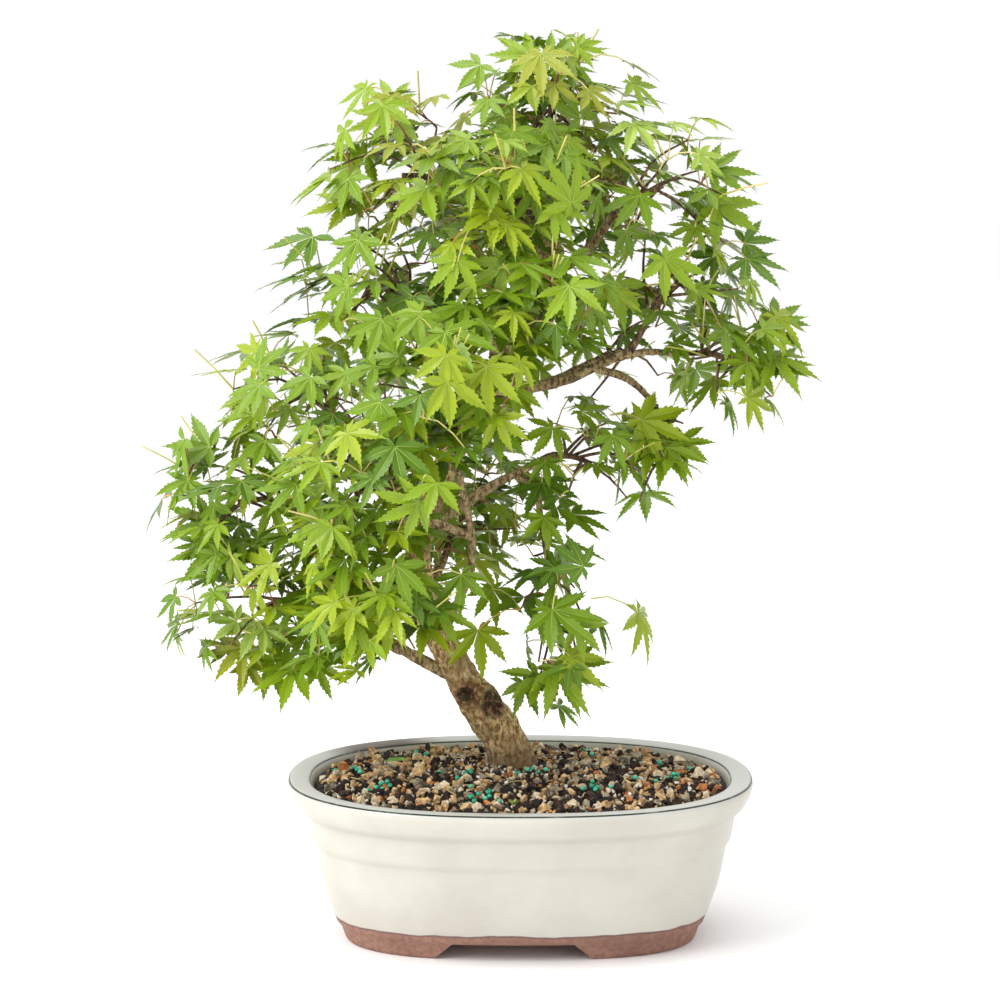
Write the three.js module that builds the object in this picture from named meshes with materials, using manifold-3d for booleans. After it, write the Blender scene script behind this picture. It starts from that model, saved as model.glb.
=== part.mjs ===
// A Japanese maple bonsai in its oval glazed pot, in full summer leaf.
// Millimetres, +X to the right, -Y to the front, +Z up. The pot's feet stand on Z = 0.
import * as THREE from 'three';
import { mergeVertices } from 'three/addons/utils/BufferGeometryUtils.js';
import Module from 'manifold-3d';

const wasm = await Module();
wasm.setup();

// Driving dimensions
const GAP = 0.3;
const CLEARANCE = GAP + 0.05;
const RIM_HALF_WIDTH = 155.5;
const RIM_HALF_DEPTH = 120.5;
const FOOT_HALF_WIDTH = 118.8;
const FOOT_HALF_DEPTH = 70;
const POT_HEIGHT = 108.7;
const FOOT_HEIGHT = 12;
const FOOT_WALL = 15;
const FLOOR_THICKNESS = 9;
const ARCH = { centre: -5, halfWidthAtFloor: 52, halfWidthAtTop: 39.5 };
const DRAIN = { x: 58, radius: 11, sides: 12, plateRadius: 16, plateThickness: 1.2 };
const SOIL = { edge: 102.8, crest: 112.3, halfWidth: 137, seatRadius: 25, seat: 109.7 };
const MOUND = { shares: [0.9, 0.76, 0.61, 0.46, 0.3], relief: 1.7, seed: 53 };
const POT_SEGMENTS = 30;
const STEM_RADIUS = 2.4;
const TWIG_RADIUS = 1.2;
const LEAF_LENGTH = 55;
const LEAF_THICKNESS = 1.6;
const TRIES = 70;
const STALK_RADIUS = 0.9;
const CLEANINGS = [0.12, 0.2, 0.06];
const WELDS = [0.07, 0.05, 0.035, 0.02, 0.01, 0.005];

const up = new THREE.Vector3(0, 0, 1);

// Colours, one for each kind of surface
const glaze = new THREE.MeshStandardMaterial({ color: 0xece8dc, roughness: 0.28, metalness: 0 });
const gravel = new THREE.MeshStandardMaterial({ color: 0x8a7258, roughness: 0.95, metalness: 0 });
const gauze = new THREE.MeshStandardMaterial({ color: 0x23262a, roughness: 0.6, metalness: 0 });
const bark = new THREE.MeshStandardMaterial({ color: 0x8a7650, roughness: 0.85, metalness: 0 });
const leafGreen = new THREE.MeshStandardMaterial({ color: 0x5c9a24, roughness: 0.45, metalness: 0 });

const bonsai = new THREE.Group();

function addNode(name, geometry, material) {
  const mesh = new THREE.Mesh(geometry, material);
  mesh.name = name;
  bonsai.add(mesh);
}

// A park-miller generator: the same seed always grows the same twigs.
function seeded(seed) {
  let state = seed;
  return () => {
    state = (state * 16807) % 2147483647;
    return state / 2147483647;
  };
}

// Closed meshes and solids

// Stacks rings of equal length into one closed mesh, with flat fans over both ends.
function loft(rings) {
  const sides = rings[0].length;
  const triangles = [];
  for (let row = 0; row + 1 < rings.length; row += 1) {
    for (let i = 0; i < sides; i += 1) {
      const next = (i + 1) % sides;
      const [a, b] = [row * sides + i, row * sides + next];
      triangles.push(a, b, b + sides, a, b + sides, a + sides);
    }
  }
  const top = (rings.length - 1) * sides;
  for (let i = 1; i + 1 < sides; i += 1) {
    triangles.push(0, i + 1, i, top, top + i, top + i + 1);
  }
  const geometry = new THREE.BufferGeometry().setFromPoints(rings.flat());
  geometry.setIndex(triangles);
  return geometry;
}

function solidOf(geometry) {
  const bare = geometry.clone();
  bare.deleteAttribute('normal');
  bare.deleteAttribute('uv');
  const merged = mergeVertices(bare, 1e-4);
  const solid = new wasm.Manifold(new wasm.Mesh({
    numProp: 3,
    vertProperties: merged.attributes.position.array,
    triVerts: new Uint32Array(merged.index.array),
  }));
  if (solid.volume() < 0) throw new Error('a mesh is inside out');
  return solid;
}

function bareGeometry(solid) {
  const { vertProperties, triVerts } = solid.getMesh();
  const geometry = new THREE.BufferGeometry();
  geometry.setAttribute('position', new THREE.BufferAttribute(new Float32Array(vertProperties), 3));
  geometry.setIndex(new THREE.BufferAttribute(new Uint32Array(triVerts), 1));
  return geometry;
}

function geometryOf(solid) {
  const flat = bareGeometry(solid).toNonIndexed();
  flat.computeVertexNormals();
  return flat;
}

// The largest closed body of a cut solid.
function largestBody(solid) {
  return solid.decompose().reduce((best, body) => (body.volume() > best.volume() ? body : best));
}

// True where every edge belongs to two faces, so that no two sheets of the surface touch along a line.
function hasPlainEdges(triVerts) {
  const uses = new Map();
  for (let i = 0; i < triVerts.length; i += 3) {
    for (const [a, b] of [[i, i + 1], [i + 1, i + 2], [i + 2, i]]) {
      const ends = [triVerts[a], triVerts[b]].sort((one, other) => one - other).join('_');
      uses.set(ends, (uses.get(ends) ?? 0) + 1);
    }
  }
  return [...uses.values()].every((count) => count === 2);
}

function mergedCorners(body, reach) {
  const merged = mergeVertices(bareGeometry(body), reach);
  const corners = merged.index.array;
  const triVerts = [];
  for (let i = 0; i < corners.length; i += 3) {
    const [a, b, c] = corners.slice(i, i + 3);
    if (a !== b && b !== c && c !== a) triVerts.push(a, b, c);
  }
  return { vertProperties: merged.attributes.position.array, triVerts: new Uint32Array(triVerts) };
}

// Cuts leave edges shorter than a hair. They are merged as far as the solid stays one closed body.
function welded(solid) {
  for (const cleaning of CLEANINGS) {
    const body = largestBody(solid.simplify(cleaning));
    for (const reach of WELDS) {
      const mesh = mergedCorners(body, reach);
      if (!hasPlainEdges(mesh.triVerts)) continue;
      const tidy = new wasm.Manifold(new wasm.Mesh({ numProp: 3, ...mesh }));
      if (tidy.decompose().length === 1 && tidy.volume() > 0.99 * body.volume()) return tidy;
    }
  }
  throw new Error('no clean closed body is left');
}

// Pot: an oval shell that tapers faster at the front and back than at its ends

const RIM_CORNERS = 2.35;
const FOOT_CORNERS = 2.7;
const TAPER_HEIGHT = 90;

function halfDepthAt(halfWidth, height) {
  const taper = 1 - Math.min(height / TAPER_HEIGHT, 1);
  const rimInset = RIM_HALF_WIDTH - RIM_HALF_DEPTH;
  const footInset = FOOT_HALF_WIDTH - FOOT_HALF_DEPTH;
  const inset = rimInset + (footInset - rimInset) * taper;
  return halfWidth - inset * Math.min(halfWidth / FOOT_HALF_WIDTH, 1);
}

function ovalPoint(angle, halfWidth, height) {
  const corners = FOOT_CORNERS + (RIM_CORNERS - FOOT_CORNERS) * Math.min(height / POT_HEIGHT, 1);
  const [c, s] = [Math.cos(angle), Math.sin(angle)];
  const reach = (Math.abs(c) ** corners + Math.abs(s) ** corners) ** (-1 / corners);
  return new THREE.Vector3(reach * c * halfWidth, reach * s * halfDepthAt(halfWidth, height), height);
}

function ovalRing(halfWidth, height, segments = POT_SEGMENTS) {
  const angles = Array.from({ length: segments }, (_, i) => (2 * Math.PI * i) / segments);
  return angles.map((angle) => ovalPoint(angle, halfWidth, height));
}

const floorTop = FOOT_HEIGHT + FLOOR_THICKNESS;

// Half-widths of the outside with their heights, foot to rim: foot ring, belly, band and rolled lip.
const outside = [
  [FOOT_HALF_WIDTH - 1.2, 0], [FOOT_HALF_WIDTH + 0.6, 2.5], [122.2, FOOT_HEIGHT], [124.2, FOOT_HEIGHT + 2],
  [129.9, 30], [135.4, 50], [138.3, 66.5], [141, 69.5], [143.4, 84],
  [147.4, 89.5], [152.6, 96.7], [RIM_HALF_WIDTH, 104.6], [154, POT_HEIGHT],
];
// The inside, rim to floor.
const inside = [[140, 107.2], [137.6, 104], [125, 46], [112, floorTop + 4], [104, floorTop]];

const outerShell = solidOf(loft(outside.map(([halfWidth, height]) => ovalRing(halfWidth, height))));
const hollowRings = [...inside].reverse().map(([halfWidth, height]) => ovalRing(halfWidth, height));
const mouth = ovalRing(150, POT_HEIGHT + 3);
const hollow = solidOf(loft([...hollowRings, mouth]));
const footInner = FOOT_HALF_WIDTH - FOOT_WALL;
const footHollow = solidOf(loft([ovalRing(footInner + 1, -1), ovalRing(footInner - 1, FOOT_HEIGHT)]));

// A tunnel with sloping shoulders that parts the foot ring at the front and at the back.
function archCutter() {
  const outline = new THREE.Shape();
  outline.moveTo(-ARCH.halfWidthAtFloor - 1, -1);
  outline.lineTo(-ARCH.halfWidthAtTop - 3, FOOT_HEIGHT - 2.5);
  outline.lineTo(-ARCH.halfWidthAtTop, FOOT_HEIGHT);
  outline.lineTo(ARCH.halfWidthAtTop, FOOT_HEIGHT);
  outline.lineTo(ARCH.halfWidthAtTop + 3, FOOT_HEIGHT - 2.5);
  outline.lineTo(ARCH.halfWidthAtFloor + 1, -1);
  outline.closePath();
  const cutter = new THREE.ExtrudeGeometry(outline, { depth: 2 * RIM_HALF_DEPTH, bevelEnabled: false });
  cutter.rotateX(Math.PI / 2);
  cutter.translate(ARCH.centre, RIM_HALF_DEPTH, 0);
  return solidOf(cutter);
}

function disc(radius, bottom, top, x) {
  const cylinder = new THREE.CylinderGeometry(radius, radius, top - bottom, DRAIN.sides);
  cylinder.rotateX(Math.PI / 2);
  cylinder.translate(x, 0, (bottom + top) / 2);
  return cylinder;
}

let pot = outerShell.subtract(hollow).subtract(footHollow).subtract(archCutter());
for (const side of [-1, 1]) {
  pot = pot.subtract(solidOf(disc(DRAIN.radius, 0, floorTop + 5, side * DRAIN.x)));
}
addNode('pot', geometryOf(welded(pot)), glaze);

const plateBottom = floorTop + GAP;
const plateTop = plateBottom + DRAIN.plateThickness;
for (const [name, side] of [['left', -1], ['right', 1]]) {
  addNode(`drain_gauze_${name}`, disc(DRAIN.plateRadius, plateBottom, plateTop, side * DRAIN.x), gauze);
}

// Limbs: tapering round sections swept along a curve. A row is [x, y, z, radius].

function curveOf(rows) {
  const points = rows.map(([x, y, z]) => new THREE.Vector3(x, y, z));
  return new THREE.CatmullRomCurve3(points, false, 'centripetal');
}

function rowRadius(rows, t) {
  const place = Math.min(t, 0.99999) * (rows.length - 1);
  const row = Math.floor(place);
  return rows[row][3] + (rows[row + 1][3] - rows[row][3]) * (place - row);
}

// Rings square to the curve, turned as little as possible from one to the next.
function limbRings(rows, sides, steps, extra = 0, shape = () => 1) {
  const curve = curveOf(rows);
  const rings = [];
  let side = new THREE.Vector3(1, 0, 0);
  for (let i = 0; i <= steps; i += 1) {
    const t = i / steps;
    const along = curve.getTangent(t);
    side = side.clone().addScaledVector(along, -side.dot(along)).normalize();
    if (i === 0 && Math.abs(along.x) > 0.9) side.set(0, 1, 0).addScaledVector(along, -along.y).normalize();
    const across = along.clone().cross(side);
    const centre = curve.getPoint(t);
    if (i === 0) centre.addScaledVector(along, -extra);
    if (i === steps) centre.addScaledVector(along, extra);
    rings.push(Array.from({ length: sides }, (_, k) => {
      const angle = (2 * Math.PI * k) / sides;
      const radius = rowRadius(rows, t) * shape(angle, centre) + extra;
      return centre.clone()
        .addScaledVector(side, Math.cos(angle) * radius)
        .addScaledVector(across, Math.sin(angle) * radius);
    }));
  }
  return rings;
}

const trunkRows = [
  [-4, 18, SOIL.seat + GAP, 14.2], [-6.5, 17, 118, 14.2], [-13.5, 14, 133, 13.8], [-27, 10, 154, 13.4],
  [-41, 6, 176, 10.4], [-54.5, 1.5, 204, 8.8], [-67, -2, 243, 8.6], [-67, -3, 270, 8.4],
  [-53, -1, 307, 8.4], [-36, 3, 343, 8.2], [-7, 7, 385, 7.8], [15, 9, 416, 7.2],
  [20.6, 7, 458, 5.8], [18.5, 4, 484, 4.6], [17, 2, 505, 3.6],
];
const trunkFoot = { height: 26, spread: 0.18, lobes: 5 };
const trunkSteps = 25;
const trunkSides = 10;

// The foot of the trunk swells into a low, lobed flare where it meets the soil.
function flare(angle, centre) {
  const rise = Math.max(0, 1 - (centre.z - SOIL.seat) / trunkFoot.height);
  const lobe = 0.75 + 0.25 * Math.cos(trunkFoot.lobes * angle + 0.6);
  return 1 + trunkFoot.spread * lobe * rise ** 2.2;
}

function limbSolid(rows, sides, steps, extra = 0) {
  return solidOf(loft(limbRings(rows, sides, steps, extra)));
}

// The trunk's lowest ring is laid level, which gives it the flat cut that stands on the soil.
function trunkSolid(extra = 0) {
  const rings = limbRings(trunkRows, trunkSides, trunkSteps, extra, flare);
  for (const point of rings[0]) point.z = SOIL.seat + GAP - extra;
  return solidOf(loft(rings));
}

addNode('trunk', geometryOf(trunkSolid()), bark);

// Soil: fills the pot to just under its rim and mounds up to the trunk.
// Its top is rough with coarse granules, so the corners of every ring stand a little high or low.
const soilRings = [
  ovalRing(104 - GAP, floorTop + GAP),
  ovalRing(112 - GAP, floorTop + 4 + GAP),
  ovalRing(125 - GAP, 46),
  ovalRing(SOIL.halfWidth - GAP, SOIL.edge),
];
const granuleDice = seeded(MOUND.seed);
MOUND.shares.forEach((share, row) => {
  const level = SOIL.edge + (SOIL.crest - SOIL.edge) * (1 - share) ** 1.2 + 1;
  const ring = ovalRing(SOIL.halfWidth * share, level);
  ring.forEach((point, i) => {
    const side = (row + i) % 2 === 0 ? 1 : -1;
    const reach = 1 + (granuleDice() - 0.5) * 0.06;
    point.set(point.x * reach, point.y * reach, level + side * MOUND.relief * (0.5 + 0.5 * granuleDice()));
  });
  soilRings.push(ring);
});
let soil = solidOf(loft(soilRings));
const seatHole = new THREE.CylinderGeometry(SOIL.seatRadius, SOIL.seatRadius, 20, 16);
seatHole.rotateX(Math.PI / 2);
seatHole.translate(trunkRows[0][0], trunkRows[0][1], SOIL.seat + 10);
soil = soil.subtract(solidOf(seatHole));
for (const side of [-1, 1]) {
  soil = soil.subtract(solidOf(disc(DRAIN.plateRadius + GAP, 0, plateTop + GAP, side * DRAIN.x)));
}
addNode('soil', geometryOf(welded(soil)), gravel);

// Boughs: each leaves its parent limb, bows on its way and ends where its foliage starts.
// Parent, share of the parent's length, end point, how far the middle lifts off the chord, end radii.
const BOUGH_SIDES = 6;
const BOUGH_STEPS = 5;
const boughPlan = {
  lower_left_bough: ['trunk', 0.262, [-126, -8, 226], [0, 0, -3], [4.4, 2.8]],
  left_low_bough: ['lower_left_bough', 0.6, [-150, 4, 288], [-6, 3, -4], [2.9, 2.2]],
  front_left_bough: ['lower_left_bough', 0.42, [-94, -46, 214], [0, -4, -3], [2.8, 2.1]],
  back_low_bough: ['trunk', 0.4, [-52, 55, 246], [2, 0, 5], [4, 2.6]],
  front_stem: ['trunk', 0.345, [-40, -44, 318], [14, -2, 0], [4.4, 2.8]],
  front_left_stem: ['front_stem', 0.62, [-74, -62, 308], [-2, -4, -4], [3, 2.2]],
  left_bough: ['trunk', 0.515, [-118, -4, 345], [-6, 0, -5], [5, 3]],
  back_left_bough: ['trunk', 0.49, [-92, 52, 305], [-4, 2, -4], [4.6, 2.8]],
  lower_right_bough: ['trunk', 0.5, [20, -12, 324], [0, -2, 4], [4.6, 2.8]],
  hanging_bough: ['lower_right_bough', 0.72, [13, -18, 284], [5, -3, 6], [2.6, 2]],
  back_bough: ['trunk', 0.64, [-18, 60, 372], [-3, 0, -5], [4.4, 2.8]],
  left_shoulder_bough: ['trunk', 0.715, [-62, 0, 424], [0, 0, 5], [4.4, 2.8]],
  right_bough: ['trunk', 0.68, [72, -6, 393], [0, -3, -7], [5.4, 3.2]],
  right_tip_bough: ['right_bough', 0.86, [104, 2, 390], [0, 0, 3], [2.6, 2]],
  right_drop_bough: ['right_bough', 0.74, [88, -12, 358], [3, 0, 4], [2.6, 2]],
  back_right_bough: ['right_bough', 0.4, [50, 46, 382], [-3, 3, -2], [3.4, 2.4]],
  upper_right_bough: ['trunk', 0.83, [60, 0, 480], [3, 0, -4], [4, 2.6]],
  upper_left_bough: ['trunk', 0.85, [-38, -2, 497], [-2, 0, -3], [3.8, 2.5]],
};

const limbs = { trunk: { rows: trunkRows, clearance: trunkSolid(CLEARANCE) } };

function boughRows([parent, share, tip, bow, [thick, thin]]) {
  const start = curveOf(limbs[parent].rows).getPoint(share);
  const end = new THREE.Vector3(...tip);
  const middle = start.clone().lerp(end, 0.5).add(new THREE.Vector3(...bow));
  return [[...start, thick], [...middle, (thick + thin) / 2], [...end, thin]];
}

for (const [name, plan] of Object.entries(boughPlan)) {
  const rows = boughRows(plan);
  const parent = limbs[plan[0]];
  const bough = limbSolid(rows, BOUGH_SIDES, BOUGH_STEPS).subtract(parent.clearance);
  addNode(name, geometryOf(welded(bough)), bark);
  limbs[name] = { rows, clearance: limbSolid(rows, BOUGH_SIDES, BOUGH_STEPS, CLEARANCE) };
}

const allLimbs = wasm.Manifold.union(Object.values(limbs).map((limb) => limb.clearance));

// Foliage: each mass keeps to an oval space of its own round its centre, and grows from one limb.
const massPlan = {
  apex: { limb: 'trunk', centre: [20, 0, 550], reach: [74, 60, 62], leaves: 18 },
  upper_left: { limb: 'upper_left_bough', centre: [-74, 0, 506], reach: [78, 70, 62], leaves: 15 },
  upper_right: {
    limb: 'upper_right_bough', centre: [90, 0, 498], reach: [76, 70, 62], leaves: 12, reseed: 1,
  },
  upper_front: { limb: 'trunk', leaves_at: 0.87, centre: [-14, -62, 492], reach: [72, 56, 56], leaves: 13 },
  upper_back: {
    limb: 'trunk', leaves_at: 0.9, centre: [6, 66, 492], reach: [80, 60, 60], leaves: 13, reseed: 1,
  },
  left_shoulder: { limb: 'left_shoulder_bough', centre: [-98, -2, 432], reach: [70, 70, 60], leaves: 14 },
  right_shoulder: { limb: 'right_bough', centre: [104, -6, 438], reach: [66, 68, 58], leaves: 14 },
  right_tip: { limb: 'right_tip_bough', centre: [142, 0, 384], reach: [56, 58, 50], leaves: 12 },
  right_drop: { limb: 'right_drop_bough', centre: [92, -14, 320], reach: [42, 46, 56], leaves: 7 },
  upper_middle: {
    limb: 'trunk', leaves_at: 0.775, centre: [16, -66, 428], reach: [58, 54, 46], leaves: 10, reseed: 1,
  },
  middle_front: { limb: 'front_stem', centre: [-46, -84, 374], reach: [66, 56, 56], leaves: 14 },
  left_middle: { limb: 'left_bough', centre: [-146, -4, 364], reach: [66, 70, 58], leaves: 15 },
  left_front: { limb: 'front_left_stem', centre: [-102, -82, 308], reach: [66, 56, 54], leaves: 14 },
  left_low: { limb: 'left_low_bough', centre: [-184, 0, 292], reach: [74, 66, 58], leaves: 18 },
  lower_left: { limb: 'lower_left_bough', centre: [-170, -4, 222], reach: [76, 62, 62], leaves: 16 },
  lower_front: { limb: 'front_left_bough', centre: [-92, -76, 228], reach: [56, 50, 50], leaves: 11 },
  lower_right: { limb: 'lower_right_bough', centre: [44, -18, 320], reach: [58, 60, 52], leaves: 13 },
  hanging_right: { limb: 'hanging_bough', centre: [22, -24, 220], reach: [40, 44, 82], leaves: 12 },
  back_left: {
    limb: 'back_left_bough', centre: [-112, 80, 330], reach: [72, 60, 68], leaves: 14, reseed: 1,
  },
  back_middle: { limb: 'back_bough', centre: [-20, 92, 400], reach: [64, 56, 62], leaves: 12 },
  back_right: {
    limb: 'back_right_bough', centre: [72, 74, 384], reach: [66, 56, 60], leaves: 13, reseed: 1,
  },
  back_low: { limb: 'back_low_bough', centre: [-40, 80, 270], reach: [66, 54, 60], leaves: 12 },
};

const FIRST_SEED = 4211;
const SEED_STEP = 977;

const masses = Object.entries(massPlan).map(([name, plan], index) => ({
  ...plan,
  name,
  seed: FIRST_SEED + SEED_STEP * index + (plan.reseed ?? 0),
  centre: new THREE.Vector3(...plan.centre),
  reach: new THREE.Vector3(...plan.reach),
}));

// How deep a point lies in a mass's space: 0 at its centre, 1 on its skin.
function depthIn(mass, point) {
  const x = (point.x - mass.centre.x) / mass.reach.x;
  const y = (point.y - mass.centre.y) / mass.reach.y;
  const z = (point.z - mass.centre.z) / mass.reach.z;
  return x * x + y * y + z * z;
}

const SPACE_MARGIN = 0.05;
const SKIN = 1.3;

function keepsSpace(mass, points) {
  return points.every((point) => {
    const own = depthIn(mass, point);
    if (own > SKIN) return false;
    return masses.every((other) => other === mass || depthIn(other, point) > own + SPACE_MARGIN);
  });
}

// A leaf of five lobes in its own frame: [angle from the tip's direction in degrees, share of the length].
const lobes = [
  [-88, 0.66], [-62, 0.34], [-42, 0.92], [-20, 0.42], [0, 1],
  [20, 0.42], [42, 0.92], [62, 0.34], [88, 0.66],
];
const LEAF_DROOP = 0.16;

// One closed body: the blade, thickest at its middle, and the three-sided stalk that carries it.
function leafPoints(leaf) {
  const { base, tip, normal, length, root } = leaf;
  const across = normal.clone().cross(tip);
  const at = (x, y, z) => (
    base.clone().addScaledVector(tip, x).addScaledVector(across, y).addScaledVector(normal, z));
  const outline = lobes.map(([degrees, share]) => {
    const angle = THREE.MathUtils.degToRad(degrees);
    const distance = share * length;
    return at(distance * Math.cos(angle), distance * Math.sin(angle), -LEAF_DROOP * share * distance);
  });
  const neck = [
    at(0, -STALK_RADIUS, STALK_RADIUS * 0.4), at(0, STALK_RADIUS, STALK_RADIUS * 0.4),
    at(0, 0, -LEAF_THICKNESS),
  ];
  const rootRing = neck.map((point) => point.clone().sub(base).add(root));
  return { outline, neck, rootRing, crown: at(0.12 * length, 0, LEAF_THICKNESS / 2) };
}

function leafGeometry(leaf) {
  const { outline, neck, rootRing, crown } = leafPoints(leaf);
  const [left, right, under] = neck;
  const points = [];
  const face = (...corners) => points.push(...corners);
  const rim = [left, ...outline, right];
  for (let i = 0; i + 1 < rim.length; i += 1) {
    face(crown, rim[i], rim[i + 1]);
    face(under, rim[i + 1], rim[i]);
  }
  face(crown, right, left);
  for (let i = 0; i < 3; i += 1) {
    const next = (i + 1) % 3;
    face(neck[i], neck[next], rootRing[next]);
    face(neck[i], rootRing[next], rootRing[i]);
  }
  face(...rootRing);
  return new THREE.BufferGeometry().setFromPoints(points);
}

function twigSolid(points, thick, thin) {
  const rows = points.map((point, i) => [...point, thick + ((thin - thick) * i) / (points.length - 1)]);
  return solidOf(loft(limbRings(rows, 3, points.length - 1)));
}

// Directions spread evenly over a ball, the first at its top.
function spread(index, count) {
  const height = 1 - (2 * index + 1) / count;
  const turn = index * Math.PI * (3 - Math.sqrt(5));
  const width = Math.sqrt(1 - height * height);
  return new THREE.Vector3(Math.cos(turn) * width, Math.sin(turn) * width, height);
}

const treeAxis = new THREE.Vector3(-20, 0, 0);

// A leaf somewhere in the mass, more often near its skin. It faces out and up, and hangs from its stalk,
// which grows from the nearest free node of a twig.
function leafAtRandom(mass, random, nodes) {
  const jitter = (span) => (
    new THREE.Vector3(random() - 0.5, random() - 0.5, random() - 0.5).multiplyScalar(span));
  const height = 2 * random() - 1;
  const turn = 2 * Math.PI * random();
  const width = Math.sqrt(1 - height * height);
  const aim = new THREE.Vector3(Math.cos(turn) * width, Math.sin(turn) * width, height);
  const depth = 0.86 - 0.5 * random() ** 1.5;
  const middle = aim.clone().multiply(mass.reach).multiplyScalar(depth).add(mass.centre);
  const outward = middle.clone().sub(treeAxis).setZ(0).normalize().multiplyScalar(0.35);
  outward.addScaledVector(aim, 0.75).add(jitter(0.9));
  const normal = outward.clone().addScaledVector(up, 0.6).normalize();
  const tip = outward.clone().multiplyScalar(0.6).addScaledVector(up, -0.6).add(jitter(0.6));
  tip.addScaledVector(normal, -tip.dot(normal)).normalize();
  const length = LEAF_LENGTH * (0.85 + 0.22 * random());
  const base = middle.clone().addScaledVector(tip, -0.45 * length);
  const node = nodes.reduce((near, other) => (
    other.point.distanceTo(base) < near.point.distanceTo(base) ? other : near));
  return { middle, base, tip, normal, length, root: node.point, node };
}

// The stem runs from the limb into the mass. Twigs leave it one after another, each with its nodes.
function growTwigs(mass, random) {
  const limb = limbs[mass.limb];
  const limbCurve = curveOf(limb.rows);
  const start = limbCurve.getPoint(mass.leaves_at ?? 1);
  const thick = mass.leaves_at ? STEM_RADIUS : Math.min(rowRadius(limb.rows, 1), STEM_RADIUS);
  if (!mass.leaves_at) start.addScaledVector(limbCurve.getTangent(1), -1.5);
  const hub = mass.centre.clone().lerp(start, -0.1);
  const sag = start.distanceTo(hub) * 0.08;
  const stem = [start, start.clone().lerp(hub, 0.5).addScaledVector(up, sag), hub];
  const stemCurve = new THREE.CatmullRomCurve3(stem, false, 'centripetal');
  const bodies = [twigSolid(stem, thick, TWIG_RADIUS + 0.3)];
  const nodes = [{ point: hub }];
  const twigCount = Math.ceil(mass.leaves / 4);
  for (let i = 0; i < twigCount; i += 1) {
    const root = stemCurve.getPoint(0.4 + (0.55 * (i + 0.5)) / twigCount);
    const reach = mass.reach.clone().multiplyScalar(0.44 + 0.08 * random());
    const tip = mass.centre.clone().add(spread(i, twigCount).multiply(reach));
    const twig = twigSolid([root, tip], TWIG_RADIUS + 0.2, TWIG_RADIUS);
    if (!keepsSpace(mass, [tip]) || twig.intersect(allLimbs).volume() > 0) continue;
    bodies.push(twig);
    for (const share of [0.4, 0.58, 0.76, 0.95]) nodes.push({ point: root.clone().lerp(tip, share) });
  }
  return { woody: wasm.Manifold.union(bodies), nodes, limb };
}

const leafMiddles = [];

// The distance from a leaf to the nearest one that has grown, in any mass.
function roomAround(leaf) {
  return leafMiddles.reduce((least, other) => Math.min(least, other.distanceTo(leaf.middle)), 1000);
}

// Leaves grow one by one, each in the emptiest place of those tried, so that they lie evenly.
function growMass(mass) {
  const random = seeded(mass.seed);
  const { woody: twigs, nodes, limb } = growTwigs(mass, random);
  let woody = twigs;
  let blades = null;
  for (let i = 0; i < mass.leaves; i += 1) {
    const free = nodes.filter((node) => !node.taken);
    if (!free.length) break;
    const tried = Array.from({ length: TRIES }, () => leafAtRandom(mass, random, free));
    const fitting = tried.filter((leaf) => keepsSpace(mass, [...leafPoints(leaf).outline, leaf.base]));
    for (const leaf of fitting) leaf.room = roomAround(leaf);
    fitting.sort((one, other) => other.room - one.room);
    for (const leaf of fitting) {
      const body = solidOf(leafGeometry(leaf));
      const clearOfTwig = leaf.root.clone().lerp(leaf.base, 0.3);
      const outer = solidOf(leafGeometry({ ...leaf, root: clearOfTwig }));
      if (body.intersect(allLimbs).volume() > 0) continue;
      if (outer.intersect(woody).volume() > 0) continue;
      if (blades && body.intersect(blades).volume() > 0) continue;
      blades = blades ? blades.add(outer) : outer;
      woody = woody.add(body);
      leaf.node.taken = true;
      leafMiddles.push(leaf.middle);
      break;
    }
  }
  return welded(woody.subtract(limb.clearance));
}

for (const mass of masses) addNode(mass.name, geometryOf(growMass(mass)), leafGreen);

// The origin is set under the middle of the whole plant, on the surface that it stands on.
const box = new THREE.Box3().setFromObject(bonsai);
const middle = box.getCenter(new THREE.Vector3());
bonsai.position.set(-middle.x, -middle.y, -box.min.z);

export default bonsai;
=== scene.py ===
# A Japanese maple bonsai in summer leaf, in an oval cream-glazed pot of gravelly soil.
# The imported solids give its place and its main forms. Bark, twigs, leaves, glaze and granules are made here.
import math

import bmesh
import bpy
import numpy as np
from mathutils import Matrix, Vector, noise


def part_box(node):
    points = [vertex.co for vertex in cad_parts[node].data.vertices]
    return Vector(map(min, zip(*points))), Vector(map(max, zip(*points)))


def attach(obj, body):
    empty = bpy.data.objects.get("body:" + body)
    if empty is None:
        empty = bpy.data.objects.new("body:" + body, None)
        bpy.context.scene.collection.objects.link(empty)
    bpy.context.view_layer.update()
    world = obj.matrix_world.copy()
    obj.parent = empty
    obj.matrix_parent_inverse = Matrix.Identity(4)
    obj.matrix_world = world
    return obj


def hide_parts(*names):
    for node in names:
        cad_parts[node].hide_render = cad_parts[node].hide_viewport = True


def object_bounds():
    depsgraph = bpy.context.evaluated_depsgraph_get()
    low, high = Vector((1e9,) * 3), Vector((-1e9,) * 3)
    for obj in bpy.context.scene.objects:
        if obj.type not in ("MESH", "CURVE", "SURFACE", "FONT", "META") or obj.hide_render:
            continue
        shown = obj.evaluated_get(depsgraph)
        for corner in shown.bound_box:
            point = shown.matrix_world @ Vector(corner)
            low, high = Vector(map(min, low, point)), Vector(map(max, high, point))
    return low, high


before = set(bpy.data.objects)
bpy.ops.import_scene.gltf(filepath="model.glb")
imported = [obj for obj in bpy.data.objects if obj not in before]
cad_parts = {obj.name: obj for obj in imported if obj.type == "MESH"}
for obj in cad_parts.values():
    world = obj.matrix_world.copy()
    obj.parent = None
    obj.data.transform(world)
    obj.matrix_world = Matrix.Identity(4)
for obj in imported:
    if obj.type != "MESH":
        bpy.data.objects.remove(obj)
solid_low, solid_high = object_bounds()
bpy.ops.object.select_all(action="DESELECT")

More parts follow.
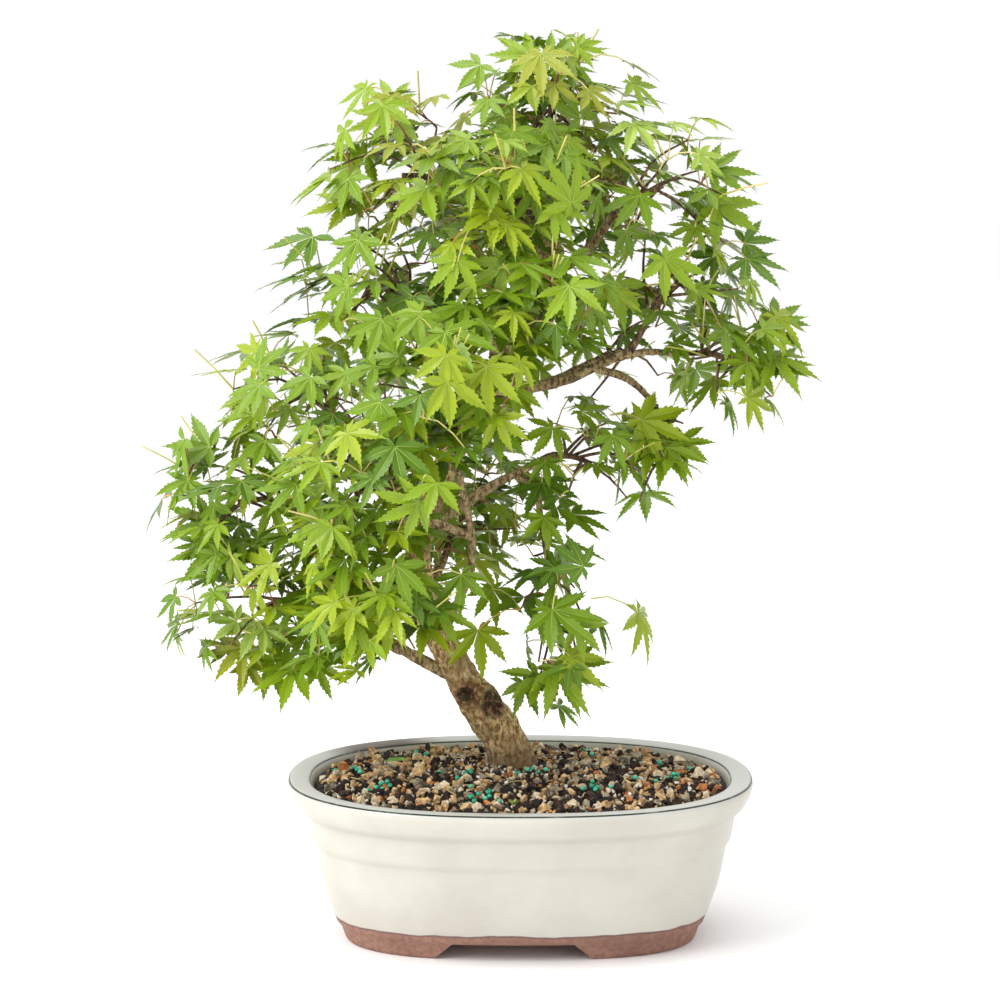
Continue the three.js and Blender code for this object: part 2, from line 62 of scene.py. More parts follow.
# POT
# Slab-thick stoneware, pressed in an oval mould: a foot ring parted by an arch at the front and the back,
# a belly with a stepped band, and a broad rolled lip. Cream glaze stops above the bare clay of the foot.
MM = 0.001
RIM_HALF_WIDTH = 155.5
RIM_HALF_DEPTH = 120.5
FOOT_HALF_WIDTH = 118.8
FOOT_HALF_DEPTH = 70
POT_HEIGHT = 108.7
FOOT_HEIGHT = 12
TAPER_HEIGHT = 90
RIM_CORNERS = 2.35
FOOT_CORNERS = 2.7
POT_SEGMENTS = 168

pot_low, pot_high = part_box("pot")
pot_middle = (pot_low + pot_high) / 2


def place(x, y, z):
    """A point given in millimetres from the middle of the pot's feet."""
    return Vector((pot_middle.x + x * MM, pot_middle.y + y * MM, z * MM))


pot_foot = np.array(place(0, 0, 0))


def metres(part):
    """A part whose points are in the pot's millimetres, with its points in the scene's metres."""
    return part[0] * MM + pot_foot, part[1]


def half_depth_at(half_width, height):
    """Half the pot's depth where half its width is known, at one height."""
    taper = 1 - min(max(height, 0) / TAPER_HEIGHT, 1)
    rim_inset = RIM_HALF_WIDTH - RIM_HALF_DEPTH
    foot_inset = FOOT_HALF_WIDTH - FOOT_HALF_DEPTH
    inset = rim_inset + (foot_inset - rim_inset) * taper
    return half_width - inset * min(half_width / FOOT_HALF_WIDTH, 1)


def oval_point(angle, half_width, height):
    """A point on the pot's oval at one angle, with fuller corners low down than at the rim."""
    corners = FOOT_CORNERS + (RIM_CORNERS - FOOT_CORNERS) * min(height / POT_HEIGHT, 1)
    c, s = math.cos(angle), math.sin(angle)
    reach = (abs(c) ** corners + abs(s) ** corners) ** (-1 / corners)
    return place(reach * c * half_width, reach * s * half_depth_at(half_width, height), height)


def srgb(red, green, blue):
    """A colour read off in 0 to 255, as the renderer's own linear values."""
    shares = [value / 255 for value in (red, green, blue)]
    linear = [s / 12.92 if s <= 0.04045 else ((s + 0.055) / 1.055) ** 2.4 for s in shares]
    return (*linear, 1)


def feed(tree, socket, value):
    """Give a socket its value: a link from another node, or a plain number, colour or vector."""
    if isinstance(value, bpy.types.NodeSocket):
        tree.links.new(value, socket)
    else:
        socket.default_value = value


def add_node(tree, kind, inputs=None, **settings):
    made = tree.nodes.new(kind)
    for name, value in settings.items():
        setattr(made, name, value)
    for name, value in (inputs or {}).items():
        feed(tree, made.inputs[name], value)
    return made


def blended(tree, share, first, second):
    """Colour first where share is 0, second where it is 1."""
    return add_node(tree, "ShaderNodeMix", {0: share, 6: first, 7: second}, data_type="RGBA").outputs[2]


def maths(tree, operation, *values):
    return add_node(tree, "ShaderNodeMath", dict(enumerate(values)), operation=operation).outputs[0]


def times(tree, first, second):
    return maths(tree, "MULTIPLY", first, second)


def rest(tree, share):
    """What a share leaves over: 1 where it is 0, and 0 where it is 1."""
    return maths(tree, "SUBTRACT", 1.0, share)


def wash(tree, base, share, strength, colour):
    """A colour laid over a base where share is 1, as strongly as strength says."""
    return blended(tree, times(tree, share, strength), base, colour)


def step_up(tree, value, low, high):
    """0 below low, 1 above high, smooth between."""
    made = add_node(tree, "ShaderNodeMapRange", {"Value": value, "From Min": low, "From Max": high},
                    interpolation_type="SMOOTHSTEP")
    return made.outputs["Result"]


def band(tree, value, rise, fall):
    """1 between a rise and a fall, each given as where it starts and where it ends."""
    return times(tree, step_up(tree, value, *rise), rest(tree, step_up(tree, value, *fall)))


def speckle(tree, where, scale, detail=4.0, rough=0.6):
    values = {"Vector": where, "Scale": scale, "Detail": detail, "Roughness": rough}
    return add_node(tree, "ShaderNodeTexNoise", values).outputs["Fac"]


def height_of(tree, where):
    return add_node(tree, "ShaderNodeSeparateXYZ", {"Vector": where}).outputs["Z"]


def stain(tree, where, spot, near, far):
    """1 within near of a spot, 0 past far, in millimetres."""
    apart = add_node(tree, "ShaderNodeVectorMath", {0: where, 1: spot}, operation="DISTANCE").outputs["Value"]
    return rest(tree, step_up(tree, apart, near * MM, far * MM))


def new_material(name):
    """A material with its shader and the object coordinates that its patterns follow."""
    material = bpy.data.materials.new(name)
    material.use_nodes = True
    tree = material.node_tree
    shader = tree.nodes["Principled BSDF"]
    where = add_node(tree, "ShaderNodeTexCoord").outputs["Object"]
    return material, tree, shader, where


def paint(tree, shader, colour, roughness):
    feed(tree, shader.inputs["Base Color"], colour)
    feed(tree, shader.inputs["Roughness"], roughness)


def bump(tree, shader, height, distance):
    made = add_node(tree, "ShaderNodeBump", {"Height": height, "Distance": distance, "Strength": 1.0})
    feed(tree, shader.inputs["Normal"], made.outputs["Normal"])


def two_tone(name, scale, detail, roughness, first, second, edges=(0.4, 0.6)):
    """A material that drifts between two colours. Gives back its noise too, for a grain."""
    material, tree, shader, where = new_material(name)
    drift = speckle(tree, where, scale, detail)
    paint(tree, shader, blended(tree, step_up(tree, drift, *edges), first, second), roughness)
    return material, tree, shader, drift


def fine_grained(name, colour, roughness, relief):
    """A material of one plain colour with a fine grain."""
    material, tree, shader, where = new_material(name)
    paint(tree, shader, colour, roughness)
    bump(tree, shader, speckle(tree, where, 420.0, 2.0), relief)
    return material, shader


def dress(node, material):
    """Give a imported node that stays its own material."""
    node.data.materials.clear()
    node.data.materials.append(material)


GLAZE_EDGE = 18.6
GLAZE_RUNS = 5.0
LIP_STAIN = (-98, 86, 108)

glaze, tree, shader, where = new_material("cream glaze over bare clay")
height = height_of(tree, where)
cloud = speckle(tree, where, 14.0)
runs = speckle(tree, where, 34.0, 2.0)
grog = speckle(tree, where, 260.0, 3.0)
edge = maths(tree, "MULTIPLY_ADD", runs, GLAZE_RUNS * MM, (GLAZE_EDGE - GLAZE_RUNS / 2) * MM)
above = maths(tree, "SUBTRACT", height, edge)
glazed = step_up(tree, above, -0.2 * MM, 0.3 * MM)
seam = band(tree, above, (-1.6 * MM, -0.3 * MM), (0.3 * MM, 0.9 * MM))
lip_top = step_up(tree, height, 105.4 * MM, 107.0 * MM)
# Painted shade: a darker band just under the lip's ledge, from 86 to 95 mm up.
lip_ledge_painted_shade = band(tree, height, (86 * MM, 89.5 * MM), (90.5 * MM, 95 * MM))
brown = times(tree, stain(tree, where, place(*LIP_STAIN), 16, 56), lip_top)
brown = times(tree, brown, step_up(tree, cloud, 0.28, 0.5))
cells = add_node(tree, "ShaderNodeTexVoronoi", {"Vector": where, "Scale": 95.0, "Randomness": 1.0})
pinholes = times(tree, rest(tree, step_up(tree, cells.outputs["Distance"], 0.02, 0.055)),
                 step_up(tree, speckle(tree, where, 28.0, 1.0), 0.58, 0.64))
cream = blended(tree, step_up(tree, cloud, 0.35, 0.7), srgb(192, 188, 176), srgb(202, 199, 188))
cream = wash(tree, cream, lip_top, 0.75, srgb(192, 193, 186))
# The painted shade under the lip's ledge, laid over the cream.
cream = wash(tree, cream, lip_ledge_painted_shade, 0.3, srgb(176, 172, 156))
cream = wash(tree, cream, brown, 0.96, srgb(72, 56, 14))
cream = wash(tree, cream, pinholes, 0.55, srgb(150, 140, 118))
clay = blended(tree, step_up(tree, grog, 0.3, 0.7), srgb(132, 96, 80), srgb(160, 120, 104))
clay = wash(tree, clay, step_up(tree, cloud, 0.42, 0.7), 0.5, srgb(118, 84, 74))
colour = wash(tree, blended(tree, glazed, clay, cream), seam, 0.7, srgb(108, 78, 76))
roughness = maths(tree, "MULTIPLY_ADD", cloud, 0.06, maths(tree, "MULTIPLY_ADD", glazed, -0.5, 0.78))
paint(tree, shader, colour, roughness)
thrown = add_node(tree, "ShaderNodeTexWave", {"Vector": where, "Scale": 62.0, "Distortion": 1.2,
                                              "Detail": 1.0}, bands_direction="Z").outputs["Fac"]
relief = times(tree, cloud, 0.8)
for part, strength in ((thrown, 0.07), (glazed, 0.7), (pinholes, -0.7), (grog, 0.05)):
    relief = maths(tree, "MULTIPLY_ADD", part, strength, relief)
bump(tree, shader, relief, 0.0006)

lip_line, *_ = two_tone("dark glaze line on the lip", 60.0, 3.0, 0.28, srgb(40, 46, 38), srgb(112, 120, 108),
                        edges=(0.5, 0.72))

# Half-widths and heights of one section: under the foot, up the outside, over the lip and down the inside.
pot_section = [
    (102.8, 12), (104.2, 1.3), (105.4, 0), (116.0, 0), (117.5, 0.8), (118.5, 2.5), (120.3, 8),
    (121.4, 11.2), (122.4, 12.1), (123.8, 13.2), (124.8, 16), (126.1, 19), (128.6, 26), (130.7, 32),
    (132.6, 38), (134.1, 44), (135.4, 50), (136.5, 56), (137.4, 61), (138.0, 64.6), (138.5, 66.6),
    (139.6, 68.3), (140.8, 69.4), (141.6, 72), (142.3, 76), (142.9, 80), (143.5, 84), (144.2, 86.8),
    (145.4, 88.8), (147.2, 90.0), (149.0, 91.6), (151.0, 94), (152.8, 97.2), (154.2, 100.5),
    (155.1, 103.4), (155.5, 105.2), (155.4, 106.4), (154.9, 107.6), (153.9, 108.4), (152.0, 108.7),
    (149.0, 108.5), (146.0, 108.2), (143.0, 107.8), (141.3, 107.3), (140.3, 106.5), (139.6, 105.3),
    (138.4, 102), (137.0, 96), (135.5, 88), (132.5, 78), (129.0, 62), (125.0, 46), (118.0, 32),
    (112.0, 25), (107.0, 22), (104.0, 21),
]
# Rows of faces, counted along the section, where the two thin dark lines of the lip run.
LIP_LINE_ROWS = (38, 44)

bpy.ops.mesh.primitive_circle_add(vertices=POT_SEGMENTS, radius=1.0, fill_type="NGON")
pot = bpy.context.object
pot.name = "pot_glazed"
for vertex in pot.data.vertices:
    vertex.co = oval_point(math.atan2(vertex.co.y, vertex.co.x), *pot_section[0])
    vertex.select = True
bpy.ops.object.mode_set(mode="EDIT")
bpy.ops.mesh.select_mode(type="EDGE")
shape = bmesh.from_edit_mesh(pot.data)
angle_of = shape.verts.layers.float.new("angle")
first_depth = half_depth_at(*pot_section[0])
for vertex in shape.verts:
    local = vertex.co - place(0, 0, 0)
    vertex[angle_of] = math.atan2(local.y / first_depth, local.x / pot_section[0][0])
for edge in shape.edges:
    edge.select = True
shape.faces.layers.int.new("row")
bmesh.update_edit_mesh(pot.data)
for row, (half_width, level) in enumerate(pot_section[1:], 1):
    bpy.ops.mesh.extrude_edges_indiv()
    shape = bmesh.from_edit_mesh(pot.data)
    angle_of = shape.verts.layers.float["angle"]
    row_of = shape.faces.layers.int["row"]
    for vertex in shape.verts:
        if vertex.select:
            vertex.co = oval_point(vertex[angle_of], half_width, level)
            for face in vertex.link_faces:
                face[row_of] = row
    bmesh.update_edit_mesh(pot.data)
bpy.ops.mesh.edge_face_add()
bpy.ops.mesh.select_all(action="SELECT")
bpy.ops.mesh.normals_make_consistent(inside=False)
bpy.ops.mesh.select_all(action="DESELECT")
bpy.ops.object.mode_set(mode="OBJECT")
pot.data.materials.append(glaze)
pot.data.materials.append(lip_line)
rows = pot.data.attributes["row"].data
for face in pot.data.polygons:
    if rows[face.index].value in LIP_LINE_ROWS:
        face.material_index = 1


def cut(piece, cutter):
    modifier = piece.modifiers.new("cut", "BOOLEAN")
    modifier.object = cutter
    modifier.solver = "EXACT"
    bpy.context.view_layer.objects.active = piece
    bpy.ops.object.modifier_apply(modifier=modifier.name)
    bpy.data.objects.remove(cutter, do_unlink=True)


ARCH_MIDDLE = -5
ARCH_HALF_FLOOR = 52
ARCH_HALF_TOP = 39.5
BELOW_FLOOR = 1
DRAIN_OUT = 58
DRAIN_RADIUS = 11
DRAIN_DEPTH = 30
bpy.ops.mesh.primitive_cube_add(size=1.0)
arch = bpy.context.object
for vertex in arch.data.vertices:
    half, level = ARCH_HALF_FLOOR + BELOW_FLOOR, -BELOW_FLOOR
    if vertex.co.z > 0:
        half, level = ARCH_HALF_TOP, FOOT_HEIGHT
    x = ARCH_MIDDLE + math.copysign(half, vertex.co.x)
    vertex.co = place(x, math.copysign(RIM_HALF_DEPTH, vertex.co.y), level)
cut(pot, arch)
for side in (-1, 1):
    bpy.ops.mesh.primitive_cylinder_add(vertices=40, radius=DRAIN_RADIUS * MM, depth=DRAIN_DEPTH * MM,
                                        location=place(side * DRAIN_OUT, 0, DRAIN_DEPTH / 2))
    cut(pot, bpy.context.object)
bpy.ops.object.select_all(action="DESELECT")
pot.select_set(True)
bpy.context.view_layer.objects.active = pot
bpy.ops.object.shade_smooth_by_angle(angle=math.radians(32))
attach(pot, "root")
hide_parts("pot")

gauze, tree, shader, where = new_material("black plastic gauze")
weave = add_node(tree, "ShaderNodeTexChecker", {"Vector": where, "Scale": 700.0})
paint(tree, shader, blended(tree, weave.outputs["Fac"], srgb(34, 36, 38), srgb(58, 60, 62)), 0.6)
for name in ("drain_gauze_left", "drain_gauze_right"):
    dress(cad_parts[name], gauze)

# SOIL
# A free-draining bonsai mix heaped a little towards the trunk: tan and orange fired clay, grey grit, dark
# bark, white perlite and some teal beads of feed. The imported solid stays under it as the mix's damp body.
soil_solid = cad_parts["soil"]
damp, tree, shader, crumb = two_tone("damp dark mix", 240.0, 5.0, 0.9, srgb(14, 10, 8), srgb(50, 36, 26),
                                     edges=(0.35, 0.65))
bump(tree, shader, crumb, 0.0015)
dress(soil_solid, damp)


def effect_group(name, *colours):
    """A shared effect with its named inputs and outputs: the group, what it is given and what it puts out."""
    group = bpy.data.node_groups.new(name, "ShaderNodeTree")
    inputs = [("Place", "NodeSocketVector"), ("Scale", "NodeSocketFloat")]
    for socket, kind in inputs + [(colour, "NodeSocketColor") for colour in colours]:
        group.interface.new_socket(name=socket, in_out="INPUT", socket_type=kind)
    for socket, kind in (("Colour", "NodeSocketColor"), ("Height", "NodeSocketFloat")):
        group.interface.new_socket(name=socket, in_out="OUTPUT", socket_type=kind)
    return group, group.nodes.new("NodeGroupInput").outputs, group.nodes.new("NodeGroupOutput").inputs


def effect(tree, where, group, scale, colours):
    """A shared effect placed in a material, with its own scale and its three colours in the group's order."""
    values = dict(enumerate((where, scale, *colours)))
    return add_node(tree, "ShaderNodeGroup", values, node_tree=group).outputs


def effect_material(name, group, scale, roughness, relief, *colours):
    material, tree, shader, where = new_material(name)
    made = effect(tree, where, group, scale, colours)
    paint(tree, shader, made["Colour"], roughness)
    bump(tree, shader, made["Height"], relief)
    return material


# The first effect: a base colour broken by darker and paler mottling, with a matching grain.
mottle, given, put_out = effect_group("mottled grain", "Dark", "Middle", "Pale")
coarse = speckle(mottle, given["Place"], given["Scale"], 2.0, 0.5)
fine = speckle(mottle, given["Place"], times(mottle, given["Scale"], 4.0), 5.0, 0.65)
tone = blended(mottle, step_up(mottle, coarse, 0.38, 0.62), given["Dark"], given["Middle"])
tone = blended(mottle, step_up(mottle, fine, 0.5, 0.72), tone, given["Pale"])
feed(mottle, put_out["Colour"], tone)
feed(mottle, put_out["Height"], fine)

# Kinds of loose granule: each one's share of them all, and its material.
granule_kinds = {
    "tan_granules": (0.29, effect_material(
        "tan fired clay", mottle, 120, 0.9, 0.0004,
        srgb(150, 114, 72), srgb(222, 184, 130), srgb(246, 224, 186))),
    "orange_granules": (0.07, effect_material(
        "orange fired clay", mottle, 120, 0.9, 0.0004,
        srgb(134, 72, 34), srgb(206, 132, 70), srgb(232, 176, 120))),
    "grey_grit": (0.15, effect_material(
        "grey grit", mottle, 150, 0.7, 0.0003,
        srgb(84, 74, 58), srgb(158, 144, 116), srgb(196, 186, 166))),
    "beige_grit": (0.15, effect_material(
        "beige pumice", mottle, 170, 0.85, 0.0005,
        srgb(190, 166, 130), srgb(236, 218, 186), srgb(252, 244, 226))),
    "dark_bark_chips": (0.34, effect_material(
        "dark bark chips", mottle, 110, 0.85, 0.0006,
        srgb(10, 6, 4), srgb(40, 24, 15), srgb(104, 64, 38))),
}

SOIL_EDGE = 102.8
SOIL_HALF_WIDTH = 137
STEM_FOOT = Vector((-4, 18))
STEM_CLEAR = 14.5
GRANULE_POINTS = 13
GRANULE_SHAPES = 8
ROW_STEP = 0.866
FINE_SHARE = 0.6
FINE_REACH = 70.0

to_solid = soil_solid.matrix_world.inverted()


def soil_spot(x, y, lift):
    """A point lift above the packed soil's rough top, straight over x and y in the pot's millimetres."""
    above = to_solid @ place(x, y, POT_HEIGHT + 20)
    below = to_solid @ place(x, y, 0)
    found, spot, _, _ = soil_solid.ray_cast(above, below - above)
    spot = soil_solid.matrix_world @ spot if found else place(x, y, SOIL_EDGE)
    return spot + Vector((0, 0, lift * MM))


def share_out(x, y):
    """How far out a spot lies: 0 at the middle of the soil, 1 at the pot's wall."""
    depth = half_depth_at(SOIL_HALF_WIDTH, SOIL_EDGE)
    angle = math.atan2(y / depth, x / SOIL_HALF_WIDTH)
    reach = (oval_point(angle, SOIL_HALF_WIDTH, SOIL_EDGE) - place(0, 0, SOIL_EDGE)).length / MM
    return math.hypot(x, y) / reach


def crushed_stone(random):
    """A granule one unit across, as the hull of a few points scattered round it."""
    hull = bmesh.new()
    for _ in range(GRANULE_POINTS):
        direction = Vector(random.normal(size=3)).normalized()
        hull.verts.new(direction * (0.42 + 0.1 * random.random()))
    bmesh.ops.convex_hull(hull, input=hull.verts)
    loose = [vertex for vertex in hull.verts if not vertex.link_faces]
    bmesh.ops.delete(hull, geom=loose, context="VERTS")
    hull.verts.index_update()
    points = np.array([vertex.co for vertex in hull.verts])
    faces = [[vertex.index for vertex in face.verts] for face in hull.faces]
    hull.free()
    return points, faces


def turned(random):
    """A rotation picked evenly, as a 3 by 3 matrix."""
    return np.linalg.qr(random.normal(size=(3, 3)))[0]


def joined(name, parts, material, smooth=False):
    """One piece from many (points, faces) parts, in metres."""
    points = np.concatenate([part[0] for part in parts])
    faces = []
    start = 0
    for part_points, part_faces in parts:
        faces.extend([[start + corner for corner in face] for face in part_faces])
        start += len(part_points)
    mesh = bpy.data.meshes.new(name)
    mesh.from_pydata(points.tolist(), [], faces)
    mesh.materials.append(material)
    mesh.update()
    if smooth:
        mesh.shade_smooth()
    piece = bpy.data.objects.new(name, mesh)
    bpy.context.scene.collection.objects.link(piece)
    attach(piece, "root")
    return piece


scatter = np.random.default_rng(20)
stones = [crushed_stone(scatter) for _ in range(GRANULE_SHAPES)]
heap = {name: [] for name in granule_kinds}
kind_names = list(granule_kinds)
kind_shares = np.cumsum([granule_kinds[name][0] for name in kind_names])


def pick_kind():
    """The heap of one kind of granule, picked by the kinds' shares."""
    return heap[kind_names[int(np.searchsorted(kind_shares, scatter.random() * kind_shares[-1]))]]


def set_stone(parts, spot, size, squash):
    points, faces = stones[int(scatter.integers(GRANULE_SHAPES))]
    stretch = np.array([1.0, 0.72 + 0.28 * scatter.random(), squash])
    matrix = turned(scatter)
    if np.linalg.det(matrix) < 0:
        matrix[:, 0] *= -1
    parts.append(((points * stretch * size * MM) @ matrix.T + np.array(spot), faces))


def scattered_spots(spacing, lift, largest_share=0.975):
    """Spots on the mound in a loose grid, clear of the trunk's foot."""
    across = int(2 * SOIL_HALF_WIDTH / spacing)
    for column in range(-across, across + 1):
        for row in range(-across, across + 1):
            x = (column + 0.5 * (row % 2) + 0.5 * (scatter.random() - 0.5)) * spacing
            y = (row * ROW_STEP + 0.5 * (scatter.random() - 0.5)) * spacing
            if share_out(x, y) <= largest_share and (Vector((x, y)) - STEM_FOOT).length >= STEM_CLEAR:
                yield soil_spot(x, y, lift)


def fineness(spot):
    """Granules lie finer round the stem than out by the lip."""
    apart = (spot - place(STEM_FOOT.x, STEM_FOOT.y, SOIL_EDGE)).length / MM
    return FINE_SHARE + (1 - FINE_SHARE) * min(1.0, apart / FINE_REACH)


# A close bed of granules, and larger ones here and there on top of it.
for spot in scattered_spots(5.3, 0.4):
    set_stone(pick_kind(), spot, (3.5 + 6.0 * scatter.random() ** 2.0) * fineness(spot), 0.72)
for spot in scattered_spots(11.0, 1.9, 0.955):
    if scatter.random() < 0.72:
        set_stone(pick_kind(), spot, (7.0 + 6.5 * scatter.random() ** 1.5) * fineness(spot), 0.6)
for name, parts in heap.items():
    joined(name, parts, granule_kinds[name][1])

# Flecks of perlite all over, and more of them round the stem.
NEAR_FLECKS = 70
flecks = []
for spot in scattered_spots(15, 2.2, 0.95):
    if scatter.random() < 0.62:
        set_stone(flecks, spot, 2.0 + 2.2 * scatter.random(), 0.8)
for _ in range(NEAR_FLECKS):
    angle = math.tau * scatter.random()
    apart = 16 + 34 * scatter.random()
    spot = soil_spot(STEM_FOOT.x + apart * math.cos(angle), STEM_FOOT.y + apart * math.sin(angle), 1.6)
    set_stone(flecks, spot, 1.6 + 1.8 * scatter.random(), 0.8)
perlite = effect_material("white perlite", mottle, 260, 0.8, 0.0004, srgb(206, 202, 194), srgb(236, 234, 228),
                          srgb(250, 249, 246))
joined("perlite_flecks", flecks, perlite)

# Feed beads lie where they were sprinkled: more to the front and the left, none under the lip.
# Middle of each group, across and in depth, how many beads it has, and how wide it is spread.
bead_groups = [(-112, 14, 5, 12), (-88, -38, 6, 14), (-20, -66, 11, 24), (-38, -22, 5, 16), (14, -14, 6, 10),
               (52, -46, 7, 20), (98, -22, 6, 18), (108, 22, 4, 14), (-60, 52, 3, 16), (44, 42, 4, 22)]
BEAD_LARGEST_SHARE = 0.92
BEAD_STEM_CLEAR = 26
BEAD_SQUASH = np.array([1, 1, 0.92])
bpy.ops.mesh.primitive_ico_sphere_add(subdivisions=2, radius=0.5)
ball = bpy.context.object
ball_points = np.array([vertex.co for vertex in ball.data.vertices])
ball_faces = [list(face.vertices) for face in ball.data.polygons]
bpy.data.objects.remove(ball, do_unlink=True)
beads = []
for middle_x, middle_y, count, width in bead_groups:
    for _ in range(count):
        x = middle_x + scatter.normal() * width * 0.6
        y = middle_y + scatter.normal() * width * 0.5
        if share_out(x, y) > BEAD_LARGEST_SHARE or (Vector((x, y)) - STEM_FOOT).length < BEAD_STEM_CLEAR:
            continue
        spot = np.array(soil_spot(x, y, 3.4))
        size = (2.9 + 0.6 * scatter.random()) * MM
        beads.append((ball_points * size * BEAD_SQUASH + spot, ball_faces))
bead, *_ = two_tone("teal feed beads", 90.0, 2.0, 0.35, srgb(28, 160, 122), srgb(80, 208, 168))
joined("feed_beads", beads, bead, smooth=True)


def ring_frames(centres):
    """Two directions across a line at each of its points. They turn as little as possible on the way."""
    along = np.gradient(centres, axis=0)
    along /= np.linalg.norm(along, axis=1)[:, None]
    side = np.array([1.0, 0, 0]) if abs(along[0][0]) < 0.9 else np.array([0, 1.0, 0])
    for axis in along:
        side = side - axis * side.dot(axis)
        side /= np.linalg.norm(side)
        yield side, np.cross(axis, side)


def ring_faces(rows, sides):
    """The faces of a closed limb made of rings: its sides and its two ends."""
    faces = []
    for start in range(0, (rows - 1) * sides, sides):
        for i in range(sides):
            after = (i + 1) % sides
            faces.append([start + i, start + after, start + sides + after, start + sides + i])
    faces.append(list(range(sides))[::-1])
    faces.append([(rows - 1) * sides + i for i in range(sides)])
    return faces


def tube(points, radii, sides):
    """A closed round limb along points, as (corners, faces)."""
    points = np.asarray(points, float)
    turns = 2 * math.pi * np.arange(sides) / sides
    rings = []
    for centre, radius, (side, across) in zip(points, radii, ring_frames(points)):
        rings.append(centre + radius * (np.cos(turns)[:, None] * side + np.sin(turns)[:, None] * across))
    return np.concatenate(rings), ring_faces(len(points), sides)


STRAW_COUNT = 26
STRAW_THICKNESS = 0.35
STRAW_HALF_DEPTH = 95
bits = []
for _ in range(STRAW_COUNT):
    turn = scatter.random() * 2 * math.pi
    out = 0.25 + 0.6 * scatter.random()
    x = math.cos(turn) * out * SOIL_HALF_WIDTH
    spot = np.array(soil_spot(x, math.sin(turn) * out * STRAW_HALF_DEPTH, 3.6))
    heading = scatter.random() * math.pi
    reach = (7 + 11 * scatter.random()) * MM
    step = np.array([math.cos(heading), math.sin(heading), 0.06]) * reach
    bend = np.array([-math.sin(heading), math.cos(heading), 0.3]) * reach * 0.15
    line = [spot - step * 0.5, spot - step * 0.1 + bend, spot + step * 0.25 + bend * 0.8, spot + step * 0.5]
    bits.append(tube(line, [STRAW_THICKNESS * MM] * 4, 4))
straw, *_ = two_tone("dry straw and root bits", 60.0, 2.0, 0.8, srgb(150, 112, 70), srgb(206, 182, 132))
joined("straw_bits", bits, straw)

# TRUNK
# One old stem that leans left out of the soil, swings back to the right and ends in the crown. It swells into
# a lobed foot, and carries a hollow with painted shade inside and a rough scar low on its front, where limbs
# were once cut off.
trunk_rows = [
    (-4, 18, 108.6, 14.2), (-6.5, 17, 118, 14.2), (-13.5, 14, 133, 13.8), (-27, 10, 154, 13.4),
    (-41, 6, 176, 10.4), (-54.5, 1.5, 204, 8.8), (-67, -2, 243, 8.6), (-67, -3, 270, 8.4),
    (-53, -1, 307, 8.4), (-36, 3, 343, 8.2), (-7, 7, 385, 7.8), (15, 9, 416, 7.2),
    (20.6, 7, 458, 5.8), (18.5, 4, 484, 4.6), (17, 2, 505, 3.6),
]
TRUNK_FOOT_HEIGHT = 26
TRUNK_FOOT_SPREAD = 0.18
TRUNK_FOOT_LOBES = 5
SOIL_AT_STEM = 109.7
HOLLOW = np.array([-36.5, -3.5, 162.0])
HOLLOW_REACH = np.array([5.2, 7.0, 6.4])
SCAR = np.array([-19.5, 1.5, 156.0])
SCAR_REACH = np.array([6.0, 8.0, 12.0])


def curve_point(rows, share):
    """A point on the smooth curve through the rows' points, share of the way along by row."""
    points = np.asarray(rows, float)[:, :3]
    run = share * (len(points) - 1)
    i = min(int(run), len(points) - 2)
    t = run - i
    p1, p2 = points[i], points[i + 1]
    p0 = points[i - 1] if i > 0 else 2 * p1 - p2
    p3 = points[i + 2] if i + 2 < len(points) else 2 * p2 - p1
    d0, d1, d2 = (math.sqrt(np.linalg.norm(b - a)) for a, b in ((p0, p1), (p1, p2), (p2, p3)))
    m1 = ((p1 - p0) / d0 - (p2 - p0) / (d0 + d1) + (p2 - p1) / d1) * d1
    m2 = ((p2 - p1) / d1 - (p3 - p1) / (d1 + d2) + (p3 - p2) / d2) * d1
    return (p1 + m1 * t + (-3 * p1 + 3 * p2 - 2 * m1 - m2) * t ** 2 + (2 * p1 - 2 * p2 + m1 + m2) * t ** 3)


def row_radius(rows, share):
    """The radius of a limb, share of the way along by row."""
    run = min(share, 0.99999) * (len(rows) - 1)
    i = int(run)
    return rows[i][3] + (rows[i + 1][3] - rows[i][3]) * (run - i)


def bark_relief(point, angle, radius, run):
    """How far the bark stands off a smooth limb at one spot, in millimetres."""
    spot = Vector(point)
    swell = noise.noise(spot * 0.05) * 0.13 * radius
    around = Vector((math.cos(angle) * radius * 0.16, math.sin(angle) * radius * 0.16, run * 0.03))
    flutes = (0.5 - abs(noise.noise(around))) * 0.09 * radius
    plates = Vector((math.cos(angle) * radius * 0.42, math.sin(angle) * radius * 0.42, run * 0.11))
    cracks = -max(0.0, 0.16 - abs(noise.noise(plates))) * 0.5 * min(radius, 7)
    knobs = max(0.0, noise.noise(spot * 0.13) - 0.1) * 0.22 * min(radius, 9)
    return swell + flutes + cracks + knobs + noise.noise(spot * 0.5) * 0.3


def foot_flare(angle, z):
    """How much wider than its row the trunk is near the soil, in lobes round it."""
    rise = max(0.0, 1 - (z - SOIL_AT_STEM) / TRUNK_FOOT_HEIGHT)
    lobe = 0.75 + 0.25 * math.cos(TRUNK_FOOT_LOBES * angle + 0.6)
    return 1 + TRUNK_FOOT_SPREAD * lobe * rise ** 2.2


def wound_depth(point):
    """How deep the hollow and the scar cut in, and how far the rolled edge round them stands out."""
    hollow = np.linalg.norm((point - HOLLOW) / HOLLOW_REACH)
    scar = np.linalg.norm((point - SCAR) / SCAR_REACH)
    torn = 0.5 + 1.4 * noise.noise(Vector(point * (0.4, 0.4, 0.2)))
    depth = 5.0 * max(0.0, 1 - hollow ** 2) + 3.0 * torn * max(0.0, 1 - scar ** 2)
    collar = 1.5 * math.exp(-((hollow - 1.3) / 0.28) ** 2) + 1.2 * math.exp(-((scar - 1.15) / 0.2) ** 2)
    return depth - collar


